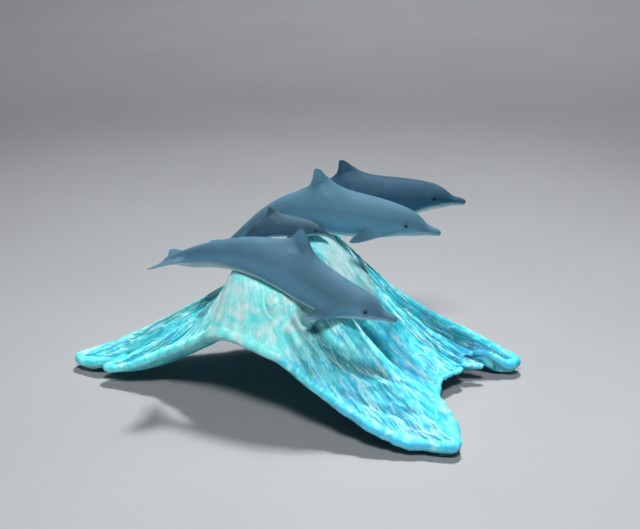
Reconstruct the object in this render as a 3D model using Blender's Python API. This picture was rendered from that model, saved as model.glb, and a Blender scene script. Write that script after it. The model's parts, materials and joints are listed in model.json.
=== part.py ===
"""Dolphin pod figurine: three adult dolphins and a calf, cast and airbrushed, that leap over a wave
carved from one piece of root wood. The wave stands on three clear bumper pads.

Units are metres and +Z is up. The dolphins swim towards +X and the open arch of the wave faces -Y.
The origin is on the surface that the figurine stands on, under the middle of its bounding box."""

import math

import bmesh
import bpy
import numpy as np
from mathutils import Vector
from mathutils.geometry import tessellate_polygon

# The gap that two solids keep where they are glued or rest on each other.
GLUE_GAP = 0.0003

# Points of a mesh that are closer than this are one point.
SAME_POINT = 1e-6

# Bumper pads, one under each foot of the wave: its name, the foot, and how far in from the middle line
# of the foot's round tip it sits. The lower edge is round, with points at these turns in degrees.
PAD_RADIUS = 0.005
PAD_HEIGHT = 0.0024
PAD_EDGE = 0.0008
PAD_SIDES = 16
PAD_EDGE_TURNS = (-45, 0)
PADS = (
    ("pad_left", "left_foot", 0.0060),
    ("pad_front", "front_foot", 0.0067),
    ("pad_right", "right_foot", 0.0079),
)

# Each foot has a flat sole above its pad. It is wider than the pad by the margin, and the underside
# rises from it over the run-out.
SOLE_HEIGHT = PAD_HEIGHT + GLUE_GAP
SOLE_MARGIN = 0.002
SOLE_RUNOUT = 0.012

# The crest of the wave, from its near end to its far end. Each row has a point of its middle line,
# the way from there to its right edge, and the headings in degrees of the spokes that start at its
# right edge and at its left edge.
CREST = (
    ((-0.038, -0.042, 0.0995), (0.016, -0.0045, -0.0045), -65, 210),
    ((0.0013, -0.0005, 0.1180), (0.006, -0.001, -0.001), -5, 160),
    ((0.0013, 0.0525, 0.1095), (0.004, -0.001, 0.0), 50, 115),
)
CREST_END = 0.004
CREST_THICKNESS = 0.046

# The wave's rim, against the clock as seen from above. Each row has a name, a point on the middle
# line of its round edge, half the width of the tongue that ends there or 0, the edge's radius, and
# two powers for the fall of the wood from the crest to that point: at a share v of the way the
# height is (1 - v ** bulge) ** run-out. The edge of a foot is lifted a little above its sole, and the
# right foot a little more.
FOOT_EDGE = 0.0042
FOOT_LIFT = 0.0012
RIGHT_LIFT = 0.0010
FOOT_RIM = SOLE_HEIGHT + FOOT_EDGE + FOOT_LIFT
RIM = (
    ("left_foot", (-0.1785, 0.0200, FOOT_RIM), 0.0062, FOOT_EDGE, (0.92, 1.16)),
    ("left_notch", (-0.1380, 0.0030, 0.0180), 0, 0.0006, (1.00, 1.3)),
    ("left_toe", (-0.1550, -0.0045, 0.0125), 0.0030, 0.0030, (1.00, 1.3)),
    ("left_arch", (-0.1147, -0.0150, 0.0265), 0, 0.0040, (1.10, 1.3)),
    ("arch_shoulder", (-0.0921, -0.0295, 0.0412), 0, 0.0042, (1.15, 1.3)),
    ("arch_top", (-0.0629, -0.0545, 0.0612), 0, 0.0042, (1.35, 1.3)),
    ("arch_right", (-0.0302, -0.0725, 0.0546), 0, 0.0042, (1.50, 1.3)),
    ("front_arch", (0.0106, -0.0925, 0.0304), 0, 0.0042, (1.30, 1.3)),
    ("front_heel", (0.0479, -0.1100, 0.0126), 0, 0.0042, (1.20, 1.3)),
    ("front_foot", (0.0880, -0.1160, FOOT_RIM), 0.0170, FOOT_EDGE, (1.15, 1.3)),
    ("web_corner", (0.0840, -0.0540, 0.0129), 0, 0.0024, (1.10, 1.3)),
    ("web_edge", (0.0880, -0.0300, 0.0139), 0, 0.0020, (1.10, 1.3)),
    ("short_tooth", (0.1065, -0.0125, 0.0139), 0.0010, 0.0014, (1.10, 1.3)),
    ("tooth_gap", (0.0985, -0.0095, 0.0165), 0, 0.0006, (1.10, 1.3)),
    ("long_tooth", (0.1205, -0.0050, 0.0130), 0.0008, 0.0012, (1.05, 1.3)),
    ("tooth_slot", (0.1060, -0.0005, 0.0190), 0, 0.0005, (1.05, 1.3)),
    ("right_instep", (0.1220, 0.0066, 0.0190), 0, 0.0026, (1.05, 1.3)),
    ("right_foot", (0.1480, 0.0135, FOOT_RIM + RIGHT_LIFT), 0.0062, FOOT_EDGE, (0.74, 0.96)),
    ("back_right", (0.1000, 0.0400, 0.0260), 0, 0.0042, (0.50, 1.3)),
    ("back_top", (0.0000, 0.0700, 0.0420), 0, 0.0042, (1.00, 1.3)),
    ("back_left", (-0.1000, 0.0450, 0.0300), 0, 0.0042, (0.95, 1.3)),
)

# The spokes of the wave run from the crest to the rim. Their headings are those of their points on
# the rim, moved this share of the way to even spacing.
EVEN_SHARE = 0.04

# Where the rim's edge is thinner than this, it is a cut in the wood. The top only bends down to a cut
# near the rim, and more sharply the higher the power.
CUT_EDGE = 0.0018
CUT_BANK = 6

# Carving fades out over the last of a spoke, as 1 - v ** this power, and the wall under the top thins
# towards the rim as the fall raised to this power.
CARVE_FADE = 8
WALL_THINNING = 0.8

# Gullies that run down the wave: the rim point they head for, half width in degrees, depth, and the
# shares of the spoke where they are deepest and where they run out. A share over 1 is past the rim.
GULLIES = (
    ("web_corner", 10.0, 0.0120, 0.30, 1.09),
    ("tooth_slot", 4.5, 0.0045, 0.60, 1.15),
    ("tooth_gap", 3.5, 0.0030, 0.65, 1.15),
    ("front_heel", 8.0, 0.0040, 0.60, 1.15),
    ("left_notch", 3.5, 0.0060, 0.65, 1.15),
    ("back_right", 9.0, 0.0050, 0.55, 1.15),
    ("back_left", 8.0, 0.0050, 0.50, 1.15),
)

# The burl below the near end of the crest: the way to its middle from there, its radius and how far
# it stands out.
BURL_OFFSET = (0.011, -0.015, -0.0155)
BURL_RADIUS = 0.014
BURL_RISE = 0.006

# Resolution of the carved wood: the length of a step along the rim, and the rows of each surface.
RIM_STEP = 0.0125
TOP_ROWS = 13
EDGE_ROWS = 3
UNDER_ROWS = 4

# A dolphin's body, as shares of its length. Each row has a station from the tip of the beak to the
# notch of the flukes, and there the rise of the back, the depth of the belly and the half breadth.
BODY = (
    (0.000, 0.011, 0.009, 0.013),
    (0.025, 0.017, 0.015, 0.020),
    (0.060, 0.019, 0.020, 0.025),
    (0.082, 0.038, 0.029, 0.035),
    (0.120, 0.060, 0.038, 0.050),
    (0.160, 0.069, 0.046, 0.062),
    (0.205, 0.076, 0.062, 0.075),
    (0.290, 0.086, 0.079, 0.088),
    (0.400, 0.094, 0.089, 0.093),
    (0.480, 0.097, 0.086, 0.089),
    (0.545, 0.091, 0.080, 0.081),
    (0.610, 0.083, 0.071, 0.070),
    (0.700, 0.067, 0.056, 0.052),
    (0.800, 0.050, 0.047, 0.034),
    (0.890, 0.031, 0.050, 0.020),
    (0.945, 0.016, 0.023, 0.017),
    (1.000, 0.006, 0.006, 0.017),
)
BODY_ANGLES = (90, 60, 12, -42, -90, -138, 168, 120)

# Fins, as shares of the dolphin's length. Each row has the share of the span, and there the setback
# of the leading edge, the chord and the half thickness.
DORSAL = (
    (0.00, 0.000, 0.150, 0.0140),
    (0.50, 0.066, 0.074, 0.0085),
    (1.00, 0.112, 0.026, 0.0040),
)
PECTORAL = (
    (0.00, 0.000, 0.076, 0.0130),
    (0.50, 0.012, 0.064, 0.0085),
    (1.00, 0.048, 0.018, 0.0035),
)
FLUKE_SPAN = 0.112
FLUKE = (
    (0.00, 0.000, 0.100, 0.0100),
    (0.50, 0.024, 0.090, 0.0060),
    (1.00, 0.112, 0.022, 0.0030),
)
FLUKE_RISE = 0.07

# A fin's edges are this share of its thickest part, and it is thickest ahead of its middle.
FIN_EDGE = 0.4
FIN_SWELL_POWER = 0.8

# Where each fin grows from the body: its first and last stations, and the columns of the body's cage
# that it takes, in order across the fin's thickness. Columns are the places in BODY_ANGLES.
DORSAL_STATIONS = (0.400, 0.545)
DORSAL_COLUMNS = (1, 0, 7)
PECTORAL_STATIONS = (0.205, 0.290)
FLUKE_STATIONS = (0.890, 1.000)
SIDE_COLUMNS = ((1, (2, 3)), (-1, (6, 5)))

# Where the middle line of each fin meets the body. The dorsal fin starts this far up the back, the
# pectorals this far out and down, and the flukes this far out. Each fluke rises by FLUKE_RISE of its
# reach.
DORSAL_SEAT = 0.96
PECTORAL_OUT = 0.80
PECTORAL_DOWN = 0.42
FLUKE_OUT = 0.5

# The pod. Each adult has its colour, its length, its heading in degrees, the station whose belly is
# seated on the wave, the share of the crest that it is seated at, and how far it is sunk into the
# wood. Its dorsal fin leads the fin's first station by the first share of the length and is as tall
# as the second. Its pectoral fins are as long as the first share, and point this much outward, down
# and aft. The pose is the pitch of the body in degrees at stations along it, nose up being positive.
ADULTS = {
    "dolphin_front": {
        "paint": (0.072, 0.175, 0.262, 1.0),
        "length": 0.175,
        "heading": -16.0,
        "seat": 0.57,
        "crest": 0.0,
        "sink": 0.002,
        "dorsal": (0.035, 0.099),
        "fins": (0.142, 0.70, 0.25, 0.45),
        "pose": ((0.0, -17), (0.2, -14), (0.35, -31), (0.5, -20), (0.62, -3), (0.8, 8), (1.0, 17)),
    },
    "dolphin_middle": {
        "paint": (0.098, 0.219, 0.305, 1.0),
        "length": 0.1735,
        "heading": -4.0,
        "seat": 0.50,
        "crest": 0.5,
        "sink": 0.002,
        "dorsal": (0.000, 0.094),
        "fins": (0.170, 0.60, 0.52, 0.72),
        "pose": ((0.0, -13.5), (0.2, -12), (0.35, -6.5), (0.5, -2.5), (0.62, 16), (0.8, 37), (1.0, 8)),
    },
    "dolphin_rear": {
        "paint": (0.060, 0.160, 0.240, 1.0),
        "length": 0.178,
        "heading": -3.0,
        "seat": 0.63,
        "crest": 1.0,
        "sink": 0.002,
        "dorsal": (0.015, 0.086),
        "fins": (0.150, 0.62, 0.42, 0.66),
        "pose": ((0.0, -9), (0.2, 0), (0.35, 1), (0.5, 6), (0.62, 12), (0.8, 24), (1.0, 44)),
    },
}

# The calf is glued to the near flank of its mother. That is at the station "beside" of the mother
# and a little lower than her middle line. It is the calf's own "station" that touches her there.
CALF = {
    "paint": (0.040, 0.090, 0.125, 1.0),
    "length": 0.083,
    "heading": -4.0,
    "mother": "dolphin_middle",
    "beside": 0.645,
    "station": 0.40,
    "lower": 0.0015,
    "sink": 0.0012,
    "dorsal": (0.030, 0.100),
    "fins": (0.150, 0.62, 0.42, 0.66),
    "pose": ((0.0, -20), (0.2, -10), (0.35, -3), (0.5, 12), (0.62, 42), (0.8, 62), (1.0, 64)),
}

WOOD_TURQUOISE = (0.105, 0.610, 0.730, 1.0)
PAD_CLEAR = (0.80, 0.84, 0.84, 1.0)
WOOD_ROUGHNESS = 0.45
PAD_ROUGHNESS = 0.2
RESIN_ROUGHNESS = 0.5


def smooth_through(knots, values, at):
    """A monotone cubic curve through values at the knots, read at one place or several."""
    x, y = np.asarray(knots, float), np.asarray(values, float)
    y = y.reshape(len(x), -1)
    step = np.diff(x)[:, None]
    slope = np.diff(y, axis=0) / step
    before, after = slope[:-1], slope[1:]
    turns = before * after <= 0
    blend = 2 * before * after / np.where(turns, 1.0, before + after)
    tangent = np.vstack([slope[:1], np.where(turns, 0.0, blend), slope[-1:]])
    at = np.atleast_1d(at).astype(float)
    i = np.clip(np.searchsorted(x, at) - 1, 0, len(x) - 2)
    h = step[i]
    t = ((at - x[i])[:, None]) / h
    low = y[i] * (1 + 2 * t) * (1 - t) ** 2 + y[i + 1] * t * t * (3 - 2 * t)
    return low + h * (tangent[i] * t * (1 - t) ** 2 + tangent[i + 1] * t * t * (t - 1))


def smooth_step(value):
    """Rises from 0 to 1 with the value, level at both ends."""
    value = np.clip(value, 0.0, 1.0)
    return value * value * (3 - 2 * value)


def material(name, colour, roughness):
    made = bpy.data.materials.new(name)
    made.use_nodes = True
    shader = made.node_tree.nodes["Principled BSDF"]
    shader.inputs["Base Color"].default_value = colour
    shader.inputs["Roughness"].default_value = roughness
    shader.inputs["Metallic"].default_value = 0.0
    made.diffuse_color = colour
    return made


def new_object(name, bm, finish):
    """An object made from a bmesh, with its faces pointing out and smooth shading."""
    bmesh.ops.recalc_face_normals(bm, faces=bm.faces)
    mesh = bpy.data.meshes.new(name)
    bm.to_mesh(mesh)
    bm.free()
    mesh.shade_smooth()
    mesh.materials.append(finish)
    made = bpy.data.objects.new(name, mesh)
    bpy.context.scene.collection.objects.link(made)
    return made


class Spine:
    """A dolphin's middle line in its own upright plane, with the seated belly point at the origin."""

    STEPS = 400

    def __init__(self, dolphin, seat):
        self.length = dolphin["length"]
        self.pose = dolphin["pose"]
        self.at = np.linspace(0.0, 1.0, self.STEPS + 1)
        pitch = self.pitch(self.at)
        step = self.length / self.STEPS
        run = np.concatenate([[0.0], np.cumsum(np.cos(pitch[1:] / 2 + pitch[:-1] / 2)) * step])
        drop = np.concatenate([[0.0], np.cumsum(np.sin(pitch[1:] / 2 + pitch[:-1] / 2)) * step])
        self.x, self.z = -run, -drop
        belly = self.point(seat) - self.up(seat) * self.belly(seat)
        self.x, self.z = self.x - belly.x, self.z - belly.z

    def pitch(self, station):
        stations, degrees = zip(*self.pose)
        return np.radians(smooth_through(stations, degrees, station)[:, 0])

    def point(self, station):
        return Vector((np.interp(station, self.at, self.x), 0.0, np.interp(station, self.at, self.z)))

    def forward(self, station):
        pitch = float(self.pitch(station)[0])
        return Vector((math.cos(pitch), 0.0, math.sin(pitch)))

    def up(self, station):
        forward = self.forward(station)
        return Vector((-forward.z, 0.0, forward.x))

    def half_sizes(self, station):
        """Rise of the back, depth of the belly and half breadth at a station."""
        rows = np.array(BODY)
        return smooth_through(rows[:, 0], rows[:, 1:], station)[0] * self.length

    def belly(self, station):
        return float(self.half_sizes(station)[1])

    def breadth(self, station):
        return float(self.half_sizes(station)[2])


def ring_points(spine, station):
    """Points round the body at a station. A smooth surface is drawn inside its cage, so the cage is
    a little larger than the body."""
    cage = 3 / (2 + math.cos(2 * math.pi / len(BODY_ANGLES)))
    back, belly, side = spine.half_sizes(station) * cage
    middle, up = spine.point(station), spine.up(station)
    points = []
    for angle in np.radians(BODY_ANGLES):
        height = (back if math.sin(angle) > 0 else belly) * math.sin(angle)
        points.append(middle + up * height + Vector((0.0, side * math.cos(angle), 0.0)))
    return points


def body_cage(bm, spine):
    """The body's cage, as a grid of vertices: one row for each station, one column for each angle."""
    grid = [[bm.verts.new(point) for point in ring_points(spine, row[0])] for row in BODY]
    count = len(BODY_ANGLES)
    for row, after in zip(grid[:-1], grid[1:]):
        for j in range(count):
            k = (j + 1) % count
            bm.faces.new((row[j], row[k], after[k], after[j]))
    bm.faces.new(grid[0])
    bm.faces.new(grid[-1][::-1])
    return grid


def fin_point(root, axes, shape, share, span, length, chord_share, side):
    """A point of a fin. The side runs from -1 to 1 through the fin's thickness."""
    out, back, flat = axes
    rows = np.array(shape)
    setback, chord, half = smooth_through(rows[:, 0], rows[:, 1:], share)[0] * length
    swell = FIN_EDGE + (1 - FIN_EDGE) * math.sin(math.pi * chord_share**FIN_SWELL_POWER)
    along = back * (setback + chord * chord_share)
    return root + out * (share * span * length) + along + flat * (half * swell * side)


def raise_fin(bm, patch, root, axes, shape, span, length):
    """Extrudes a patch of the body, ring by ring, into a fin. The patch's rows run from the fin's
    leading edge to its trailing edge, and its columns run across the fin's thickness."""
    chord, side = bm.verts.layers.float["chord"], bm.verts.layers.float["side"]
    for m, row in enumerate(patch):
        for n, vert in enumerate(row):
            vert[chord] = m / (len(patch) - 1)
            vert[side] = 2 * n / (len(row) - 1) - 1
    taken = {vert for row in patch for vert in row}
    faces = [face for face in bm.faces if all(vert in taken for vert in face.verts)]
    for row in shape[1:]:
        grown = bmesh.ops.extrude_face_region(bm, geom=faces)["geom"]
        if all(face.is_valid for face in faces):
            bmesh.ops.delete(bm, geom=faces, context="FACES_ONLY")
        faces = [part for part in grown if isinstance(part, bmesh.types.BMFace)]
        for vert in {vert for face in faces for vert in face.verts}:
            vert.co = fin_point(root, axes, shape, row[0], span, length, vert[chord], vert[side])


def patch_of(grid, ends, columns):
    """The vertices of the body's cage from the first of these stations to the last, in these columns."""
    stations = [row[0] for row in BODY]
    first, last = (stations.index(end) for end in ends)
    return [[grid[i][j] for j in columns] for i in range(first, last + 1)]


def station_after(station):
    return next(row[0] for row in BODY if row[0] > station)


def raise_dorsal(bm, grid, spine, dorsal):
    """Raises the dorsal fin. It leads its first station by one share of the length, and is as tall as
    another."""
    start = DORSAL_STATIONS[0]
    lead, span = dorsal
    after = station_after(start)
    back, _, _ = spine.half_sizes(start)
    root = spine.point(start) + spine.up(start) * back * DORSAL_SEAT
    root += spine.forward(start) * spine.length * lead
    axes = (spine.up(after), -spine.forward(after), Vector((0, -1, 0)))
    patch = patch_of(grid, DORSAL_STATIONS, DORSAL_COLUMNS)
    raise_fin(bm, patch, root, axes, DORSAL, span, spine.length)


def raise_pectorals(bm, grid, spine, fins):
    """Raises both pectoral fins, from their span and the way they point."""
    start = PECTORAL_STATIONS[0]
    _, belly, breadth = spine.half_sizes(start)
    forward, up = spine.forward(start), spine.up(start)
    span, outward, down, aft = fins
    for hand, columns in SIDE_COLUMNS:
        side = Vector((0, hand, 0))
        out = (side * outward - up * down - forward * aft).normalized()
        back = (-forward + out * forward.dot(out)).normalized()
        root = spine.point(start) + side * breadth * PECTORAL_OUT - up * belly * PECTORAL_DOWN
        axes = (out, back, back.cross(out) * hand)
        patch = patch_of(grid, PECTORAL_STATIONS, columns)
        raise_fin(bm, patch, root, axes, PECTORAL, span, spine.length)


def raise_flukes(bm, grid, spine):
    start = FLUKE_STATIONS[0]
    middle = station_after(start)
    for hand, columns in SIDE_COLUMNS:
        side = Vector((0, hand, 0))
        root = spine.point(start) + side * spine.breadth(start) * FLUKE_OUT
        out = (side + spine.up(middle) * FLUKE_RISE).normalized()
        axes = (out, -spine.forward(middle), -spine.up(middle))
        patch = patch_of(grid, FLUKE_STATIONS, columns)
        raise_fin(bm, patch, root, axes, FLUKE, FLUKE_SPAN, spine.length)


def dolphin_object(name, dolphin, seat, finish):
    """A dolphin, with its seated point at the object's origin and its nose towards +X."""
    spine = Spine(dolphin, seat)
    bm = bmesh.new()
    bm.verts.layers.float.new("chord")
    bm.verts.layers.float.new("side")
    grid = body_cage(bm, spine)
    raise_dorsal(bm, grid, spine, dolphin["dorsal"])
    raise_pectorals(bm, grid, spine, dolphin["fins"])
    raise_flukes(bm, grid, spine)
    made = new_object(name, bm, finish)
    smooth = made.modifiers.new("smooth", "SUBSURF")
    smooth.levels = smooth.render_levels = 1
    return made, spine


def grown_cutter(model):
    """A copy of a dolphin, larger by the glue gap all over, that cuts its seat into its neighbour."""
    cutter = model.copy()
    cutter.name = model.name + "_seat"
    bpy.context.scene.collection.objects.link(cutter)
    grow = cutter.modifiers.new("gap", "DISPLACE")
    grow.strength = GLUE_GAP
    grow.mid_level = 0.0
    cutter.hide_render = True
    cutter.display_type = "WIRE"
    return cutter


def cut_seat(solid, cutter):
    cut = solid.modifiers.new(cutter.name, "BOOLEAN")
    cut.operation = "DIFFERENCE"
    cut.object = cutter
    cut.use_self = True


def crest_point(share):
    """A point of the crest's middle line, from its near end at 0 to its far end at 1."""
    return Vector(smooth_through((0.0, 0.5, 1.0), [row[0] for row in CREST], share)[0])


def crest_knots():
    """Headings of spokes, growing, and the points of the crest's edge where they start."""
    near, middle, far = (np.array(row[0]) for row in CREST)
    right = [(heading, np.array(point) + side) for point, side, heading, _ in CREST]
    left = [(heading, np.array(point) - side) for point, side, _, heading in CREST]
    beyond_far = far + (far - middle) * CREST_END / np.linalg.norm(far - middle)
    beyond_near = near + (near - middle) * CREST_END / np.linalg.norm(near - middle)
    far_end = (right[2][0] + left[2][0]) / 2, beyond_far
    near_end = (right[0][0] + left[0][0] - 360) / 2, beyond_near
    return [near_end, *right, far_end, *left[::-1]]


def crest_edge(heading):
    """The point of the crest's edge where the spoke with this heading starts."""
    knots = crest_knots()
    before = [(knots[-1][0] - 360, knots[-1][1])]
    after = [(heading + 360, point) for heading, point in knots[:2]]
    turns, points = zip(*before, *knots, *after)
    turn = (math.degrees(heading) - knots[0][0]) % 360 + knots[0][0]
    return Vector(smooth_through(turns, points, turn)[0])


def rim_places():
    return {row[0]: row[1] for row in RIM}


def pad_centre(foot, inset):
    """The middle of a pad in plan, in from the tip of its foot towards the crest."""
    place = rim_places()[foot]
    heading = heading_of(place)
    return place[0] - inset * math.cos(heading), place[1] - inset * math.sin(heading)


def heading_of(point):
    middle = CREST[1][0]
    return math.atan2(point[1] - middle[1], point[0] - middle[0])


def rim_knots():
    """The rim's knots, as place, edge radius and powers. A tongue has one at its tip and one each side."""
    knots = []
    for _, place, half_width, radius, powers in RIM:
        heading = heading_of(place)
        out = np.array((math.cos(heading), math.sin(heading), 0.0))
        across = np.array((-out[1], out[0], 0.0)) * half_width
        root = np.array(place) - out * half_width
        places = [root - across, place, root + across] if half_width else [place]
        knots += [(*p, radius, *powers) for p in places]
    return knots


def rim_points(step):
    """Points, edge radii and powers round the rim in steps of about this length, and the outward
    direction in plan at each."""
    knots = rim_knots()
    loop = np.array(knots[-2:] + knots + knots[:3])
    along = np.concatenate([[0.0], np.cumsum(np.linalg.norm(np.diff(loop[:, :3], axis=0), axis=1))])
    places = []
    for begin, end in zip(along[2:-3], along[3:-2]):
        count = max(1, round((end - begin) / step))
        places += [begin + (end - begin) * k / count for k in range(count)]
    rim = smooth_through(along, loop, np.array(places))
    ahead = np.roll(rim[:, :2], -1, axis=0) - np.roll(rim[:, :2], 1, axis=0)
    outward = np.stack([ahead[:, 1], -ahead[:, 0], 0 * ahead[:, 0]], axis=1)
    return rim, outward / np.linalg.norm(outward, axis=1, keepdims=True)


def fall(share, powers):
    bulge, run_out = powers
    return (1 - share**bulge) ** run_out


def carve(point, heading, share):
    """How far the gullies and the burl move a point of the top."""
    height, places = 0.0, rim_places()
    for name, half_width, depth, deepest, end in GULLIES:
        turn = math.degrees(heading - heading_of(places[name]))
        across = abs((turn + 180) % 360 - 180) / half_width
        if across < 1:
            along = min(share / deepest, max(0.0, (end - share) / (end - deepest)))
            height -= depth * float(smooth_step(1 - across)) * float(smooth_step(along))
    away = point - Vector(CREST[0][0]) - Vector(BURL_OFFSET)
    swell = BURL_RISE * math.exp(-((away.length / BURL_RADIUS) ** 2))
    return Vector((0, 0, height)) + away.normalized() * swell


def sole_blend(point):
    """0 where the underside is flat to take a pad, rising to 1 away from it."""
    nearest = min(math.dist(point[:2], pad_centre(foot, inset)) for _, foot, inset in PADS)
    return float(smooth_step((nearest - PAD_RADIUS - SOLE_MARGIN) / SOLE_RUNOUT))


def spoke_headings(rim):
    """A heading for each point of the rim. They always grow, so that no two spokes cross."""
    actual = np.unwrap([heading_of(point) for point in rim])
    lowest = np.minimum.accumulate(actual[::-1])[::-1]
    grown = (np.maximum.accumulate(actual) + lowest) / 2
    even = actual[0] + np.linspace(0.0, 2 * math.pi, len(rim), endpoint=False)
    return grown + (even - grown) * EVEN_SHARE


def full_shape(rim, headings):
    """The stretch, foot height and powers that each spoke would have if the rim had no cuts in it."""
    starts = np.array([crest_edge(heading) for heading in headings])
    reach = np.linalg.norm(rim[:, :2] - starts[:, :2], axis=1)
    whole = rim[:, 3] >= CUT_EDGE
    columns = (reach, rim[:, 2] + rim[:, 3], rim[:, 4], rim[:, 5])
    full = [np.interp(headings, headings[whole], column[whole], period=2 * math.pi) for column in columns]
    return np.stack([full[0] / reach, *full[1:]], axis=1)


def top_height(share, start, edge, full):
    """Height of the wave's top at a share of a spoke, before carving."""
    stretch, foot, *powers = full
    heights = [foot + (start - foot) * fall(min(1.0, at / stretch), powers) for at in (share, 1.0)]
    return heights[0] + (edge - heights[1]) * share**CUT_BANK


def spoke(rim, out, heading, full, top_rows, edge_rows, under_rows):
    """One column of the wave's surface: down the top, round the edge and up the underside."""
    end, radius = Vector(rim[:3]), rim[3]
    start = crest_edge(heading)
    column = []
    for i in range(top_rows):
        share = i / (top_rows - 1)
        place = start.lerp(end, share)
        place.z = top_height(share, start.z, end.z + radius, full)
        column.append(place + carve(place, heading, share) * (1 - share**CARVE_FADE))
    for i in range(1, edge_rows + 1):
        angle = math.pi * (0.5 - i / (edge_rows + 1))
        around = Vector(out) * math.cos(angle) + Vector((0, 0, math.sin(angle)))
        column.append(end + around * radius)
    for i in range(under_rows):
        share = 1 - i / (under_rows - 1)
        place = start.lerp(end, share)
        top = top_height(share, start.z, end.z + radius, full)
        wall = 2 * radius + (CREST_THICKNESS - 2 * radius) * fall(share, full[2:]) ** WALL_THINNING
        under = max(top - wall, SOLE_HEIGHT)
        place.z = SOLE_HEIGHT + (under - SOLE_HEIGHT) * sole_blend(place)
        column.append(place)
    return column


def wave_rings(step, top_rows, edge_rows, under_rows):
    """Rings of points from the middle of the top, over the rim, to the middle of the underside."""
    rim, outward = rim_points(step)
    counts = (top_rows, edge_rows, under_rows)
    headings = spoke_headings(rim)
    shapes = zip(rim, outward, headings, full_shape(rim, headings))
    columns = [spoke(*shape, *counts) for shape in shapes]
    return list(zip(*columns))


def wave_object(finish):
    bm = bmesh.new()
    points = wave_rings(RIM_STEP, TOP_ROWS, EDGE_ROWS, UNDER_ROWS)
    rings = [[bm.verts.new(point) for point in ring] for ring in points]
    count = len(rings[0])
    for ring, after in zip(rings[:-1], rings[1:]):
        for j in range(count):
            k = (j + 1) % count
            bm.faces.new((ring[j], after[j], after[k], ring[k]))
    for ring in (rings[0], rings[-1]):
        flat = [Vector((vert.co.x, vert.co.y, 0.0)) for vert in ring]
        for corners in tessellate_polygon([flat]):
            bm.faces.new([ring[i] for i in corners])
    return new_object("wave_base", bm, finish)


def pad_object(name, centre, finish):
    """A clear bumper pad, turned round its own axis, with a rounded lower edge."""
    profile = [(0.0, 0.0), (PAD_RADIUS - PAD_EDGE, 0.0)]
    for degrees in PAD_EDGE_TURNS:
        angle = math.radians(degrees)
        inward, height = PAD_EDGE * (1 - math.cos(angle)), PAD_EDGE * (1 + math.sin(angle))
        profile.append((PAD_RADIUS - inward, height))
    profile += [(PAD_RADIUS, PAD_HEIGHT), (0.0, PAD_HEIGHT)]
    bm = bmesh.new()
    line = [bm.verts.new((x, 0.0, z)) for x, z in profile]
    edges = [bm.edges.new(pair) for pair in zip(line[:-1], line[1:])]
    turn = {"cent": (0, 0, 0), "axis": (0, 0, 1), "angle": 2 * math.pi, "steps": PAD_SIDES}
    bmesh.ops.spin(bm, geom=line + edges, use_merge=True, **turn)
    bmesh.ops.remove_doubles(bm, verts=bm.verts, dist=SAME_POINT)
    made = new_object(name, bm, finish)
    made.location = centre
    return made


def build():
    for old in list(bpy.data.objects):
        bpy.data.objects.remove(old)
    wood = material("painted_root_wood", WOOD_TURQUOISE, WOOD_ROUGHNESS)
    clear = material("clear_bumper", PAD_CLEAR, PAD_ROUGHNESS)

    wave = wave_object(wood)
    spines, adults = {}, {}
    for name, dolphin in ADULTS.items():
        resin = material(name + "_resin", dolphin["paint"], RESIN_ROUGHNESS)
        made, spine = dolphin_object(name, dolphin, dolphin["seat"], resin)
        made.location = crest_point(dolphin["crest"]) - Vector((0, 0, dolphin["sink"]))
        made.rotation_euler.z = math.radians(dolphin["heading"])
        adults[name], spines[name] = made, spine
        bpy.context.view_layer.update()
        cut_seat(wave, grown_cutter(made))

    mother, spine = adults[CALF["mother"]], spines[CALF["mother"]]
    resin = material("dolphin_calf_resin", CALF["paint"], RESIN_ROUGHNESS)
    calf, calf_spine = dolphin_object("dolphin_calf", CALF, CALF["station"], resin)
    flank = spine.point(CALF["beside"]) - Vector((0, spine.breadth(CALF["beside"]), CALF["lower"]))
    flank.y -= calf_spine.breadth(CALF["station"]) - CALF["sink"]
    flank.z -= calf_spine.belly(CALF["station"])
    calf.location = mother.matrix_world @ flank
    calf.rotation_euler.z = math.radians(CALF["heading"])
    cut_seat(calf, grown_cutter(mother))

    for name, foot, inset in PADS:
        pad_object(name, (*pad_centre(foot, inset), 0.0), clear)
    centre_on_origin()


def centre_on_origin():
    """Moves every object so that the middle of the figurine's box is over the origin."""
    bpy.context.view_layer.update()
    graph = bpy.context.evaluated_depsgraph_get()
    corners = []
    for obj in bpy.context.scene.objects:
        if not obj.hide_render:
            mesh = obj.evaluated_get(graph).to_mesh()
            corners += [obj.matrix_world @ v.co for v in mesh.vertices]
    corners = np.array(corners)
    middle = (corners.max(axis=0) + corners.min(axis=0)) / 2
    for obj in bpy.context.scene.objects:
        obj.location.x -= middle[0]
        obj.location.y -= middle[1]


build()
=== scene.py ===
"""Dolphin pod figurine: a wave carved from root wood and airbrushed turquoise, with three cast dolphins
and a calf glued to it, on three clear bumper pads, in a plain studio.

Units are metres and +Z is up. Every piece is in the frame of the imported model."""

import json
import math

import bmesh
import bpy
import numpy as np
from mathutils import Matrix, Vector
from mathutils.bvhtree import BVHTree
from mathutils.geometry import tessellate_polygon


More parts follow.
